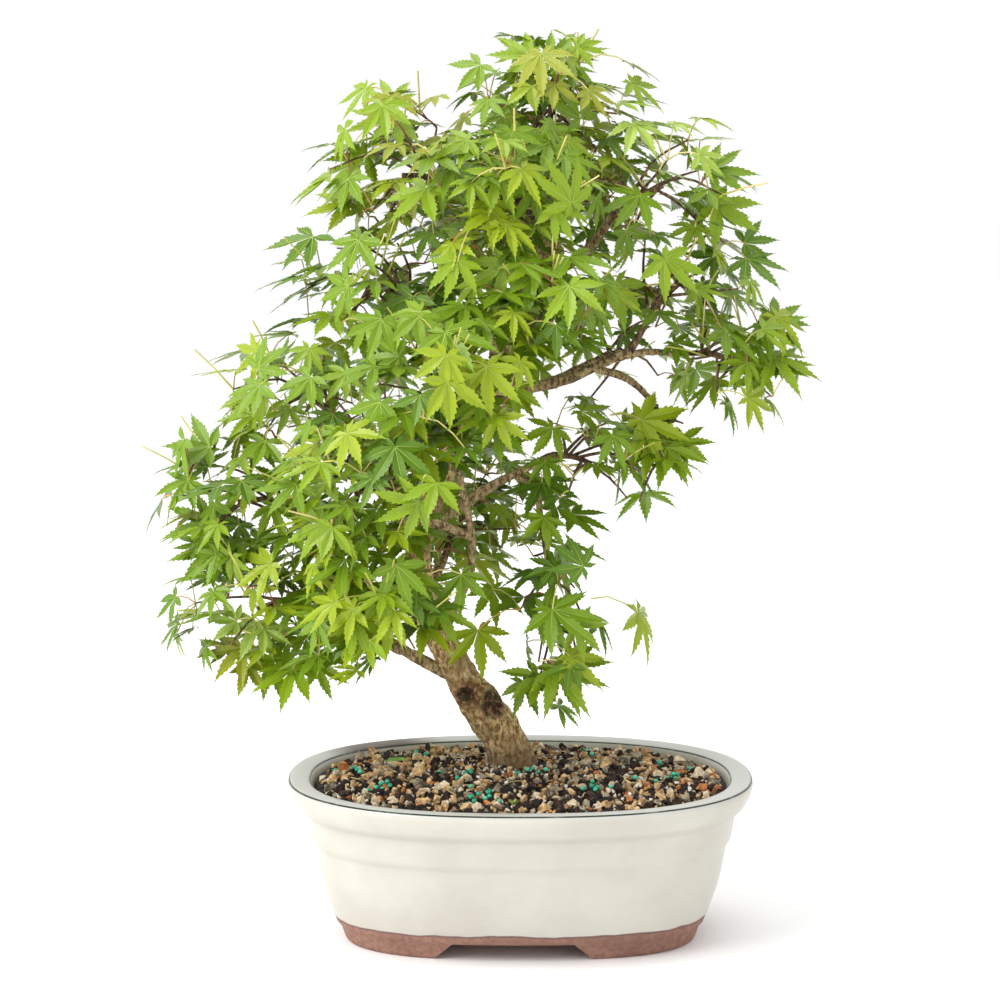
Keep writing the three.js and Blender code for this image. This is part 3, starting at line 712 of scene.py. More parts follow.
def bark_limb(rows, sides, steps, flared=False):
    """The points and faces of a limb with its bark, in metres."""
    shares = np.linspace(0, 1, steps + 1)
    centres = np.array([curve_point(rows, share) for share in shares])
    run = 0.0
    corners = []
    for i, (side, across) in enumerate(ring_frames(centres)):
        centre = centres[i]
        run += 0.0 if i == 0 else float(np.linalg.norm(centre - centres[i - 1]))
        radius = row_radius(rows, shares[i])
        for k in range(sides):
            angle = 2 * math.pi * k / sides
            outward = math.cos(angle) * side + math.sin(angle) * across
            girth = radius * (foot_flare(angle, centre[2]) if flared else 1.0)
            point = centre + outward * girth
            relief = bark_relief(point, angle, radius, run)
            if flared:
                relief -= wound_depth(point)
            if flared and i == 0:
                point[2] = rows[0][2]
            corners.append(point + outward * relief)
    return metres((np.array(corners), ring_faces(steps + 1, sides)))


# The second effect, shared by trunk, boughs and twigs: streaks along the limb, dark in the cracks.
STREAK_LEAN = math.radians(-22)
bark_skin, given, put_out = effect_group("streaked bark", "Crack", "Bark", "Fleck")
stretch = add_node(bark_skin, "ShaderNodeMapping", {"Vector": given["Place"], "Scale": (1, 1, 0.5),
                                                    "Rotation": (0, STREAK_LEAN, 0)})
streaks = speckle(bark_skin, stretch.outputs["Vector"], given["Scale"], 6.0, 0.68)
patches = speckle(bark_skin, given["Place"], times(bark_skin, given["Scale"], 0.35), 3.0, 0.5)
tone = blended(bark_skin, step_up(bark_skin, streaks, 0.40, 0.55), given["Crack"], given["Bark"])
pale = times(bark_skin, step_up(bark_skin, streaks, 0.53, 0.63), step_up(bark_skin, patches, 0.32, 0.50))
feed(bark_skin, put_out["Colour"], blended(bark_skin, pale, tone, given["Fleck"]))
feed(bark_skin, put_out["Height"], streaks)

BARK_ROUGHNESS = 0.86
old_bark, tree, shader, where = new_material("olive tan old bark")
skin = effect(tree, where, bark_skin, 400, (srgb(126, 92, 56), srgb(240, 202, 136), srgb(255, 244, 204)))
hollow_at = place(*HOLLOW)
dry = step_up(tree, height_of(tree, where), 113 * MM, 134 * MM)
torn = step_up(tree, speckle(tree, where, 300.0, 4.0), 0.5, 0.6)
flesh = blended(tree, torn, srgb(56, 30, 22), srgb(168, 122, 90))
peeled = blended(tree, torn, srgb(120, 76, 46), srgb(214, 168, 116))
rotten = times(tree, stain(tree, where, hollow_at, 4, 9),
               step_up(tree, speckle(tree, where, 260.0, 3.0), 0.3, 0.5))
moss = step_up(tree, speckle(tree, where, 26.0, 3.0), 0.5, 0.66)
worn = step_up(tree, speckle(tree, where, 44.0, 5.0), 0.46, 0.62)
colour = wash(tree, skin["Colour"], rest(tree, dry), 0.72, srgb(92, 74, 58))
colour = wash(tree, colour, stain(tree, where, place(*SCAR), 7, 14), 0.92, flesh)
colour = wash(tree, colour, stain(tree, where, hollow_at, 9, 14), 0.8, peeled)
colour = blended(tree, rotten, colour, srgb(46, 24, 16))
# Painted shade: the middle of the hollow is coloured near black.
colour = blended(tree, stain(tree, where, hollow_at, 2.5, 6), colour, srgb(34, 18, 13))
colour = wash(tree, colour, moss, 0.4, srgb(150, 148, 92))
colour = wash(tree, colour, worn, 0.55, srgb(150, 114, 72))
paint(tree, shader, colour, BARK_ROUGHNESS)
bump(tree, shader, skin["Height"], 0.0034)

TRUNK_SIDES = 104
TRUNK_STEPS = 420
trunk_part = bark_limb(trunk_rows, TRUNK_SIDES, TRUNK_STEPS, flared=True)
trunk = joined("trunk_bark", [trunk_part], old_bark, smooth=True)
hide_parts("trunk")

# BOUGHS
# Main limbs, trained outward and a little down in layers. Each leaves its parent limb, bows on its way and
# carries one mass of foliage. Parent, share of its length, end point, lift of the middle, end radii.
bough_plan = {
    "lower_left_bough": ("trunk", 0.262, (-126, -8, 226), (0, 0, -3), (4.4, 2.8)),
    "left_low_bough": ("lower_left_bough", 0.6, (-150, 4, 288), (-6, 3, -4), (2.9, 2.2)),
    "front_left_bough": ("lower_left_bough", 0.42, (-94, -46, 214), (0, -4, -3), (2.8, 2.1)),
    "back_low_bough": ("trunk", 0.4, (-52, 55, 246), (2, 0, 5), (4, 2.6)),
    "front_stem": ("trunk", 0.345, (-40, -44, 318), (14, -2, 0), (2.9, 2.0)),
    "front_left_stem": ("front_stem", 0.62, (-74, -62, 308), (-2, -4, -4), (3, 2.2)),
    "left_bough": ("trunk", 0.515, (-118, -4, 345), (-6, 0, -5), (5, 3)),
    "back_left_bough": ("trunk", 0.49, (-92, 52, 305), (-4, 2, -4), (4.6, 2.8)),
    "lower_right_bough": ("trunk", 0.5, (20, -12, 324), (0, -2, 4), (3.6, 2.4)),
    "hanging_bough": ("lower_right_bough", 0.72, (13, -18, 284), (5, -3, 6), (2.6, 2)),
    "back_bough": ("trunk", 0.64, (-18, 60, 372), (-3, 0, -5), (4.4, 2.8)),
    "left_shoulder_bough": ("trunk", 0.715, (-62, 0, 424), (0, 0, 5), (4.4, 2.8)),
    "right_bough": ("trunk", 0.68, (72, -6, 393), (0, -3, -7), (4.2, 2.6)),
    "right_tip_bough": ("right_bough", 0.86, (104, 2, 390), (0, 0, 3), (2.6, 2)),
    "right_drop_bough": ("right_bough", 0.74, (88, -12, 358), (3, 0, 4), (2.6, 2)),
    "back_right_bough": ("right_bough", 0.4, (50, 46, 382), (-3, 3, -2), (3.4, 2.4)),
    "upper_right_bough": ("trunk", 0.83, (60, 0, 480), (3, 0, -4), (4, 2.6)),
    "upper_left_bough": ("trunk", 0.85, (-38, -2, 497), (-2, 0, -3), (3.8, 2.5)),
}
BOUGH_SIDES = 22
BOUGH_STEPS = 60
limb_rows = {"trunk": trunk_rows}
bough_parts = []
for name, (parent, share, tip, bow, (thick, thin)) in bough_plan.items():
    start = curve_point(limb_rows[parent], share)
    end = np.array(tip, float)
    middle = (start + end) / 2 + np.array(bow)
    limb_rows[name] = [(*start, thick), (*middle, (thick + thin) / 2), (*end, thin)]
    bough_parts.append(bark_limb(limb_rows[name], BOUGH_SIDES, BOUGH_STEPS))
# A short stub, where a twig once broke off the trunk.
stub_rows = [(-68, -4, 262, 2.6), (-73, -7, 264, 2.2), (-77, -9, 268, 1.7)]
bough_parts.append(bark_limb(stub_rows, 16, 12))
bough_bark = effect_material("grey brown bough bark", bark_skin, 380, BARK_ROUGHNESS, 0.0009,
                             srgb(88, 68, 46), srgb(168, 144, 100), srgb(202, 180, 138))
boughs = joined("boughs_bark", bough_parts, bough_bark, smooth=True)
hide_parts(*bough_plan)

# FOLIAGE
# Each mass keeps to an oval space round its centre and grows from one limb: a stem, twigs along it, finer
# twigs towards the leaves, and leaves on thin stalks.
# Limb, share of its length where the mass starts (None is its end), centre, reach.
mass_plan = {
    "apex": ("trunk", None, (20, 0, 550), (74, 60, 62)),
    "upper_left": ("upper_left_bough", None, (-74, 0, 506), (78, 70, 62)),
    "upper_right": ("upper_right_bough", None, (90, 0, 498), (76, 70, 62)),
    "upper_front": ("trunk", 0.87, (-14, -62, 492), (72, 56, 56)),
    "upper_back": ("trunk", 0.9, (6, 66, 492), (80, 60, 60)),
    "left_shoulder": ("left_shoulder_bough", None, (-98, -2, 432), (70, 70, 60)),
    "right_shoulder": ("right_bough", None, (104, -6, 438), (66, 68, 58)),
    "right_tip": ("right_tip_bough", None, (142, 0, 384), (56, 58, 50)),
    "right_drop": ("right_drop_bough", None, (92, -14, 320), (42, 46, 56)),
    "upper_middle": ("trunk", 0.76, (16, -66, 428), (58, 54, 46)),
    "middle_front": ("front_stem", None, (-46, -84, 374), (66, 56, 56)),
    "left_middle": ("left_bough", None, (-146, -4, 364), (66, 70, 58)),
    "left_front": ("front_left_stem", None, (-102, -82, 308), (66, 56, 54)),
    "left_low": ("left_low_bough", None, (-184, 0, 292), (74, 66, 58)),
    "lower_left": ("lower_left_bough", None, (-170, -4, 222), (76, 62, 62)),
    "lower_front": ("front_left_bough", None, (-92, -76, 228), (56, 50, 50)),
    "lower_right": ("lower_right_bough", None, (44, -18, 320), (58, 60, 52)),
    "hanging_right": ("hanging_bough", None, (22, -24, 220), (40, 44, 82)),
    "back_left": ("back_left_bough", None, (-112, 80, 330), (72, 60, 68)),
    "back_middle": ("back_bough", None, (-20, 92, 400), (64, 56, 62)),
    "back_right": ("back_right_bough", None, (72, 74, 384), (66, 56, 60)),
    "back_low": ("back_low_bough", None, (-40, 80, 270), (66, 54, 60)),
}
FIRST_SEED = 4211
SEED_STEP = 977
TREE_AXIS = np.array([-20.0, 0, 0])
UP = np.array([0, 0, 1.0])
FRONT = np.array([0, -1.0, 0])
LEAVES_PER_SKIN = 0.00128
# Masses with fewer leaves than the rest, as a share of the usual number, because sky shows through these or
# through those in front of them.
thin_masses = {
    "right_tip": 0.4, "right_shoulder": 0.34, "upper_right": 0.4, "back_right": 0.18, "right_drop": 0.1,
    "left_shoulder": 0.56, "left_middle": 0.54, "left_low": 0.56, "upper_left": 0.62, "back_left": 0.4,
    "back_middle": 0.54, "lower_right": 0.5, "hanging_right": 0.54, "apex": 0.8, "lower_left": 0.8,
}
TWIG_THICKEST = 2.6
TWIGS = 10
TWIGS_IN_THINNEST = 5
THINNEST = 0.3
TWIG_SHORTEST = 14
TWIG_NODE_STEP = 11.0
FINE_TWIG_RADII = (0.85, 0.7, 0.55)
STALK_LONGEST = 32.0
STALK_FROM_FORK = 22
BARE_STALKS = 11
BARE_STALK_RADII = (0.7, 0.6, 0.5)
BARE_SKIN = 1.45
LEAF_TRIES = 9
LEAF_SHORTEST = 22
LEAF_SPREAD = 15
LEAF_MIDDLE = 0.42
SKIN = 1.3
TURNED_BACK = 34.0
INWARD_STEPS = 7
INWARD_STEP = 3.0

# Open places that let the sky or a limb show through, seen from the front: x, z and half-width.
sky_windows = [
    (-200, 205, 10), (-5, 210, 9), (-15, 175, 10), (-5, 190, 9), (-25, 215, 6), (0, 225, 6), (90, 355, 8),
    (90, 370, 6), (70, 290, 9), (35, 270, 6), (60, 225, 7), (-70, 190, 8), (-75, 200, 7), (-135, 455, 9),
    (-30, 585, 8), (145, 510, 7), (-140, 505, 7), (60, 585, 6), (175, 360, 6), (-175, 180, 7), (-190, 215, 7),
    (-215, 250, 7), (-215, 290, 6), (-195, 370, 7),
]
limb_windows = [(15, 415, 6), (-10, 380, 5), (-50, 190, 12), (-70, 185, 8)]
LIMBS_FRONT = 12.0


def seeded(seed):
    """The source's own generator: the same seed always grows the same twigs."""
    state = seed

    def draw():
        nonlocal state
        state = (state * 16807) % 2147483647
        return state / 2147483647

    return draw


def on_ball(turn, height):
    """The point of a unit ball at one turn and one height."""
    width = math.sqrt(1 - height * height)
    return np.array([math.cos(turn) * width, math.sin(turn) * width, height])


def spread(index, count):
    """Directions spread evenly over a ball, the first at its top."""
    return on_ball(index * math.pi * (3 - math.sqrt(5)), 1 - (2 * index + 1) / count)


def unit(vector):
    return vector / max(np.linalg.norm(vector), 1e-9)


def jitter(random, span):
    """A small step any way, at most half of span along each axis."""
    return np.array([random() - 0.5, random() - 0.5, random() - 0.5]) * span


# A leaf of five or seven toothed lobes, one unit long, in its own frame: the tip's way, across, and up.
# Lobe: angle in degrees, share of the length, share of the width.
leaf_lobes = [(0, 1.0, 1.0), (41, 0.92, 0.95), (-41, 0.92, 0.95), (83, 0.68, 0.82), (-83, 0.68, 0.82),
              (130, 0.34, 0.5), (-130, 0.34, 0.5)]
five_lobes = [(0, 1.0, 1.12), (47, 0.94, 1.08), (-47, 0.94, 1.08), (98, 0.56, 0.8), (-98, 0.56, 0.8)]
FIVE_LOBED = 0.55
LOBE_MIDDLE = 0.46
LOBE_TOOTH = 0.76
LOBE_WAVE = 0.012
RIB_LIFT = 0.006
SMALL_LOBE_ANGLE = 100
# Outline of half a lobe past its notch: share along, half-width.
lobe_edge = [(0.30, 0.112), (0.35, 0.100), (0.42, 0.126), (0.43, 0.102), (0.53, 0.136), (0.54, 0.100),
             (0.64, 0.112), (0.65, 0.072), (0.75, 0.078), (0.76, 0.042), (0.85, 0.038), (0.86, 0.017)]
# Half-width of a lobe's rib: share along, half-width.
rib_line = [(0.02, 0.008), (LOBE_MIDDLE, 0.005), (0.86, 0.002)]
LEAF_SHAPES = 10


def leaf_shape(random):
    """Points, blade faces and rib faces of one leaf. Its lobes droop to their tips and fold at their ribs."""
    droop = 0.05 + 0.34 * random.random()
    fold = 0.08 + 0.36 * random.random()
    points = [(0.0, 0.0, 0.0)]
    blade = []
    ribs = []

    def corner(angle, along, aside, length, lift=0.0):
        """Add the point at one place on a lobe, and give back its number."""
        reach = along * length
        swing = bend * reach * reach
        x = math.cos(angle) * reach - math.sin(angle) * (aside + swing)
        y = math.sin(angle) * reach + math.cos(angle) * (aside + swing)
        z = fold * abs(aside) - droop * reach * reach + lift + LOBE_WAVE * math.sin(9 * along + angle)
        points.append((x, y, z))
        return len(points) - 1

    for degrees, length, width in (five_lobes if random.random() < FIVE_LOBED else leaf_lobes):
        angle = math.radians(degrees + 9 * (random.random() - 0.5))
        length = length * (0.9 + 0.16 * random.random())
        bend = 0.3 * (random.random() - 0.5)
        middle = corner(angle, LOBE_MIDDLE, 0, length)
        tooth = corner(angle, LOBE_TOOTH, 0, length)
        tip = corner(angle, 1.0, 0, length)
        small = abs(degrees) > SMALL_LOBE_ANGLE
        for side in (1, -1):
            edge_points = [corner(angle, a, side * w * width, length) for a, w in lobe_edge]
            if small:
                faces = [[0, middle, tip] + edge_points[10::-3] + [edge_points[0]]]
            else:
                faces = [[0, middle] + edge_points[3::-1],
                         [middle, tooth] + edge_points[9:2:-1],
                         [tooth, tip] + edge_points[11:8:-1]]
            blade.extend(face if side < 0 else face[::-1] for face in faces)
        if not small:
            row = [(corner(angle, a, w, length, RIB_LIFT), corner(angle, a, -w, length, RIB_LIFT))
                   for a, w in rib_line]
            for (left, right), (next_left, next_right) in zip(row, row[1:]):
                ribs.append([right, next_right, next_left, left])
    return np.array(points), blade, ribs


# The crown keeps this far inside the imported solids' box.
crown_low = (np.array(solid_low) - pot_foot) / MM - 2
crown_high = (np.array(solid_high) - pot_foot) / MM - (2, 2, 9)
shape_random = np.random.default_rng(7)
leaf_shapes = [leaf_shape(shape_random) for _ in range(LEAF_SHAPES)]
# A leaf's outline in few points, for tests of room: its five long tips, its base and its middle.
outline_points = np.array([(math.cos(math.radians(d)) * s, math.sin(math.radians(d)) * s, -0.2 * s * s)
                           for d, s, _ in leaf_lobes[:5]] + [(0.0, 0.0, 0.0), (0.5, 0.0, -0.05)])

# Points along the limbs with their radii, which leaves keep clear of.
limb_points = np.array([(*curve_point(rows, share), row_radius(rows, share))
                        for name, rows in limb_rows.items()
                        for share in np.linspace(0.02, 1, 110 if name == "trunk" else 16)])
LIMB_CLEARANCE = 1.2

# Leaf greens, dealt out by spray: colour, roughness, and weight at the top, in the middle and low down.
leaf_greens = {
    "lime_leaves": (srgb(148, 168, 24), 0.32, (0.20, 0.18, 0.18)),
    "bright_green_leaves": (srgb(130, 158, 24), 0.32, (0.28, 0.34, 0.36)),
    "mid_green_leaves": (srgb(112, 144, 22), 0.34, (0.26, 0.33, 0.32)),
    "deep_green_leaves": (srgb(92, 126, 26), 0.38, (0.10, 0.10, 0.10)),
    "olive_leaves": (srgb(144, 150, 36), 0.34, (0.14, 0.03, 0.02)),
    "pale_green_leaves": (srgb(154, 178, 72), 0.34, (0.02, 0.02, 0.02)),
}
# How much more often each tint comes deep inside a mass, where the darker greens give painted shade.
SHADE_WEIGHTS = (0.25, 0.5, 1.3, 3.2, 0.5, 0.2)
SHADE_DEPTH = 0.45
TOP_HEIGHT = 470
MIDDLE_HEIGHT = 300
tint_names = list(leaf_greens)
leaf_parts = {name: [] for name in tint_names}
rib_parts = []
stalk_parts = {"straw_stalks": [], "red_stalks": []}
twig_parts = []
fine_twig_parts = []
leaf_middles = []
crown_nodes = []
dice = np.random.default_rng(31)


def pick_tint(point, depth):
    """Olive sprays near the top, brighter ones outside, and more deep green ones deep inside as painted shade.
    """
    column = 0 if point[2] > TOP_HEIGHT else (1 if point[2] > MIDDLE_HEIGHT else 2)
    weights = np.array([leaf_greens[name][2][column] for name in tint_names])
    if depth < SHADE_DEPTH:
        weights = weights * SHADE_WEIGHTS
    return tint_names[int(dice.choice(len(tint_names), p=weights / weights.sum()))]


def blocked(middle, outline):
    """True where a leaf would touch a limb or close one of the open places."""
    apart = np.linalg.norm(outline[:, None, :] - limb_points[None, :, :3], axis=2)
    if (apart < limb_points[None, :, 3] + LIMB_CLEARANCE).any():
        return True
    windows = sky_windows + (limb_windows if middle[1] < LIMBS_FRONT else [])
    return any((np.hypot(outline[:, 0] - x, outline[:, 2] - z) < half).any() for x, z, half in windows)


def leaf_axes(aim, normal):
    """A leaf's own frame: the tip's way, laid flat on the blade, across it, and up."""
    tip = unit(aim - normal * aim.dot(normal))
    return np.array([tip, np.cross(normal, tip), normal])


def hanging_axes(middle, aim, random):
    """How a leaf hangs: facing out, up and to the nearer long side of the pot, its tip out and down."""
    outward = unit((middle - TREE_AXIS) * (1, 1, 0)) * 0.55 + aim * 0.55 + jitter(random, 0.7)
    facing = 0.1 + 0.95 * random()
    open_side = FRONT if middle[1] < TURNED_BACK else -FRONT
    normal = unit((outward * 0.6 + open_side * 0.32) * facing + UP * (1.25 - facing) + jitter(random, 0.45))
    return leaf_axes(outward - UP * 0.6 * random() + jitter(random, 0.9), normal)


def outline_of(base, axes, length):
    return outline_points @ axes * length + base


def excess(points):
    """How far a set of points stands out past the crown's own box, along each axis."""
    return np.maximum(points.max(axis=0) - crown_high, 0) - np.maximum(crown_low - points.min(axis=0), 0)


def kept_inside(base, axes, length):
    return base - excess(outline_of(base, axes, length))


def set_leaf(base, axes, length, tint, random):
    points, blade, ribs = leaf_shapes[int(random() * LEAF_SHAPES)]
    mirrored = random() < 0.5
    local = points * (1, -1 if mirrored else 1, 1) * length
    world = (local @ axes + base) * MM + pot_foot
    for parts, faces in ((leaf_parts[tint], blade), (rib_parts, ribs)):
        parts.append((world, [face[::-1] for face in faces] if mirrored else faces))


def set_stalk(start, base, thick=0.5):
    """A thin stalk that rises out of its node and bows over to the leaf."""
    way = base - start
    lift = UP * np.linalg.norm(way) * 0.14
    line = [start, start + way * 0.35 + lift, start + way * 0.72 + lift * 0.8, base]
    kind = "red_stalks" if dice.random() < 0.3 else "straw_stalks"
    stalk_parts[kind].append(metres(tube(line, [thick * 1.25, thick, thick, thick * 0.9], 3)))


def set_fine_twig(start, end, bow):
    fine_twig_parts.append(metres(tube([start, (start + end) / 2 + bow, end], FINE_TWIG_RADII, 5)))


def grow_twigs(random, centre, reach, stem_rows, count):
    """Twigs from a mass's stem out towards its skin. Gives back their nodes, for finer twigs and stalks."""
    nodes = [np.array(stem_rows[-1][:3])]
    for i in range(count):
        root = curve_point(stem_rows, 0.25 + 0.7 * (i + 0.5) / count)
        tip = centre + spread(i, count) * reach * (0.56 + 0.12 * random())
        span = np.linalg.norm(tip - root)
        if span < TWIG_SHORTEST:
            continue
        bow = UP * span * (0.04 + 0.1 * random())
        twig_rows = [root, (root + tip) / 2 + bow + jitter(random, 9), tip]
        steps = max(4, int(span / 8))
        line = [curve_point(twig_rows, s) for s in np.linspace(0, 1, steps + 1)]
        twig_parts.append(metres(tube(line, np.linspace(1.2, 0.6, steps + 1), 6)))
        node_count = max(2, int(span / TWIG_NODE_STEP))
        nodes.extend(curve_point(twig_rows, s) for s in np.linspace(0.22, 1, node_count))
    return nodes


def try_leaf(random, centre, reach):
    """A leaf at a random spot near a mass's skin, or None where it would be hidden or in the way."""
    height = 2 * random() - 1
    aim = on_ball(2 * math.pi * random(), height)
    depth = 0.9 - 0.5 * random() ** 1.7
    middle = centre + aim * reach * depth
    away = unit((middle - TREE_AXIS) * (1, 1, 0)) * 0.8 + UP * 0.5
    if random() > 0.4 + 0.6 * max(0.0, float(aim.dot(away))):
        return None
    length = LEAF_SHORTEST + LEAF_SPREAD * random() ** 1.3
    axes = hanging_axes(middle, aim, random)
    base = middle - axes[0] * LEAF_MIDDLE * length
    outline = outline_of(base, axes, length)
    inward = unit(aim * reach) * INWARD_STEP
    for _ in range(INWARD_STEPS):
        if (((outline - centre) / reach) ** 2).sum(axis=1).max() < SKIN:
            break
        outline = outline - inward
        base = base - inward
    past = excess(outline)
    base = base - past
    middle = base + axes[0] * LEAF_MIDDLE * length
    return None if blocked(middle, outline - past) else (middle, depth, axes, base, length)


def choose_leaves(random, centre, reach, count):
    """Leaves for one mass. Each is the one with the most room round it out of a few tries."""
    chosen = []
    for _ in range(count):
        best = None
        most_room = 0.0
        for _ in range(LEAF_TRIES):
            leaf = try_leaf(random, centre, reach)
            if leaf is None:
                continue
            room = min((np.linalg.norm(other - leaf[0]) for other in leaf_middles), default=1000.0)
            if best is None or room > most_room:
                best = leaf
                most_room = room
        if best is not None:
            leaf_middles.append(best[0])
            chosen.append(best)
    return chosen


def finer_twig(random, start, base, gap):
    """A fine twig from a node most of the way to a leaf's foot. Gives back its end."""
    reach = gap - STALK_FROM_FORK - 6 * random()
    way = unit(base - start)
    end = start + way * reach + UP * 0.05 * reach
    side = np.cross(way, UP) * (random() - 0.5) * reach * 0.25
    set_fine_twig(start, end, side + UP * 0.06 * reach)
    return end


def hang_leaves(random, leaves, nodes):
    """Each leaf on a stalk from the nearest node, by way of a fine twig where that is far off."""
    tints = {}
    for middle, depth, axes, base, length in leaves:
        gaps = np.linalg.norm(np.array(nodes) - base, axis=1)
        near = int(gaps.argmin())
        if gaps[near] > STALK_LONGEST:
            nodes.append(finer_twig(random, nodes[near], base, gaps[near]))
            near = len(nodes) - 1
        if near not in tints:
            tints[near] = pick_tint(middle, depth)
        tint = tints[near] if random() < 0.8 else pick_tint(middle, depth)
        set_stalk(nodes[near], base)
        set_leaf(base, axes, length, tint, random)


def set_bare_stalks(random, centre, reach, nodes, count):
    """Bare stalks that stick out upwards, from nodes high up or near the front."""
    for _ in range(count):
        root = max((nodes[int(random() * len(nodes))] for _ in range(3)), key=lambda node: node[2] - node[1])
        way = np.array([random() - 0.5, random() - 0.8, random() - 0.5]) * 1.2
        way = unit(unit(root - centre) + UP * 0.8 + way)
        end = root + way * (24 + 18 * random())
        if (end < crown_high).all() and (((end - centre) / reach) ** 2).sum() < BARE_SKIN:
            stalk = tube([root, (root + end) / 2 + UP, end], BARE_STALK_RADII, 4)
            stalk_parts["straw_stalks"].append(metres(stalk))


def skin_area(reach):
    """The area of an oval ball's skin, near enough, from its three reaches."""
    power = 1.6075
    a, b, c = reach ** power
    return 4 * math.pi * ((a * b + a * c + b * c) / 3) ** (1 / power)


def grow_mass(index, name, limb, share, centre, reach):
    random = seeded(FIRST_SEED + SEED_STEP * index)
    centre = np.array(centre, float)
    reach = np.array(reach, float)
    fullness = thin_masses.get(name, 1)
    rows = limb_rows[limb]
    start = curve_point(rows, 1 if share is None else share)
    thick = min(row_radius(rows, 1), TWIG_THICKEST) if share is None else TWIG_THICKEST
    hub = centre + (start - centre) * -0.1
    sag = np.linalg.norm(start - hub) * 0.08
    stem_rows = [(*start, thick), (*((start + hub) / 2 + UP * sag), 2.1), (*hub, 1.4)]
    twig_parts.append(bark_limb(stem_rows, 9, 12))
    nodes = grow_twigs(random, centre, reach, stem_rows, TWIGS if fullness > THINNEST else TWIGS_IN_THINNEST)
    leaves = choose_leaves(random, centre, reach, int(skin_area(reach) * LEAVES_PER_SKIN * fullness))
    leaves.sort(key=lambda leaf: float(np.linalg.norm(leaf[3] - hub)))
    hang_leaves(random, leaves, nodes)
    crown_nodes.extend(nodes)
    set_bare_stalks(random, centre, reach, nodes, int(BARE_STALKS * fullness))


# Sprigs that reach out of the crown: where the last leaf's tip stands, which way it points, and its length.
# The spots are read off the photograph, to about 5 mm.
outer_sprigs = [
    ((-240, -10, 270), (-0.95, -0.2, -0.25), 36), ((-235, -20, 340), (-0.9, -0.2, 0.3), 34),
    ((-225, -10, 235), (-0.6, -0.2, -0.75), 33), ((-155, -35, 150), (-0.15, -0.3, -1), 36),
    ((-205, -15, 170), (-0.6, -0.3, -0.7), 34), ((-185, -25, 185), (-0.3, -0.3, -0.9), 32),
    ((-205, 5, 355), (-0.8, -0.2, 0.2), 30), ((-145, -10, 485), (-0.9, -0.3, -0.1), 36),
    ((-110, -20, 560), (-0.6, -0.5, 0.4), 38), ((-25, -10, 595), (-0.95, -0.3, 0.15), 34),
    ((50, -15, 595), (0.9, -0.3, 0.3), 34), ((155, -10, 515), (0.95, -0.2, 0.15), 32),
    ((155, -15, 470), (0.8, -0.4, -0.5), 36), ((165, -10, 425), (0.5, -0.3, -0.8), 34),
    ((185, -15, 390), (0.8, -0.2, -0.6), 34), ((180, -20, 355), (0.3, -0.2, -0.95), 36),
    ((40, -30, 150), (0.45, -0.3, -0.9), 38), ((110, -35, 300), (0.4, -0.3, -0.85), 36),
]


# Leaves that stand out on the crown's front, read off the photograph to about 5 mm and 5 degrees: the
# tip's place across and up, how far the leaf leans from straight down, to the right, and how long it looks.
front_leaves = [
    (-30, 375, 25, 40), (-95, 395, -20, 25), (35, 405, 10, 35), (25, 380, 40, 30), (-25, 350, 5, 20),
    (-90, 350, -75, 25), (-15, 330, 0, 20), (-45, 435, -15, 20), (-10, 450, -80, 20), (-25, 175, 5, 35),
    (-40, 210, 30, 25), (-15, 215, 10, 20), (40, 150, 25, 40), (40, 195, 30, 40), (-40, 235, -5, 20),
    (-80, 225, 20, 25), (-80, 520, 10, 30), (-20, 470, 0, 20), (-50, 315, 30, 25), (-90, 210, 35, 25),
    (-45, 260, 15, 30), (-60, 290, -15, 30),
]
PLAIN_TINTS = ("lime_leaves", "bright_green_leaves", "mid_green_leaves")
FRONT_LEAF_SHORTEST = 30.0
FRONT_LEAF_CLEARANCE = 3.0
FRONT_LEAF_NEAR = 24
BACKMOST_FRONT_LEAF = -20.0
# A sprig's leaves: how far each turns from the sprig's way, and its length as a share of the first one's.
sprig_leaves = [(0.0, 1.0), (1.25, 0.8), (-1.35, 0.74)]


def nearest_node(base):
    roots = np.array(crown_nodes)
    return roots[np.linalg.norm(roots - base, axis=1).argmin()]


def set_front_leaf(x, z, lean, seen, random):
    """One leaf in front of the others round it. The shorter it is seen, the more it points to the viewer."""
    near = [leaf[1] for leaf in leaf_middles if math.hypot(leaf[0] - x, leaf[2] - z) < FRONT_LEAF_NEAR]
    front = min(near, default=BACKMOST_FRONT_LEAF) - FRONT_LEAF_CLEARANCE
    front = max(front, crown_low[1] + 4)
    length = max(float(seen), FRONT_LEAF_SHORTEST)
    share = seen / length
    lean = math.radians(lean)
    way = np.array([math.sin(lean) * share, -math.sqrt(1 - share * share), -math.cos(lean) * share])
    base = np.array([x, front, z]) - way * length
    root = nearest_node(base)
    if float(np.linalg.norm(root - base)) > STALK_LONGEST:
        fork = base + unit(root - base) * STALK_FROM_FORK
        set_fine_twig(root, fork, UP * 2.5)
        root = fork
    normal = unit(np.array([0.3 * (random() - 0.5), -0.75, 0.5 + 0.3 * random()]))
    axes = leaf_axes(way, normal)
    base = kept_inside(base, axes, length)
    set_stalk(root, base)
    tint = pick_tint(base, 1.0)
    set_leaf(base, axes, length, tint if tint in PLAIN_TINTS else "bright_green_leaves", random)


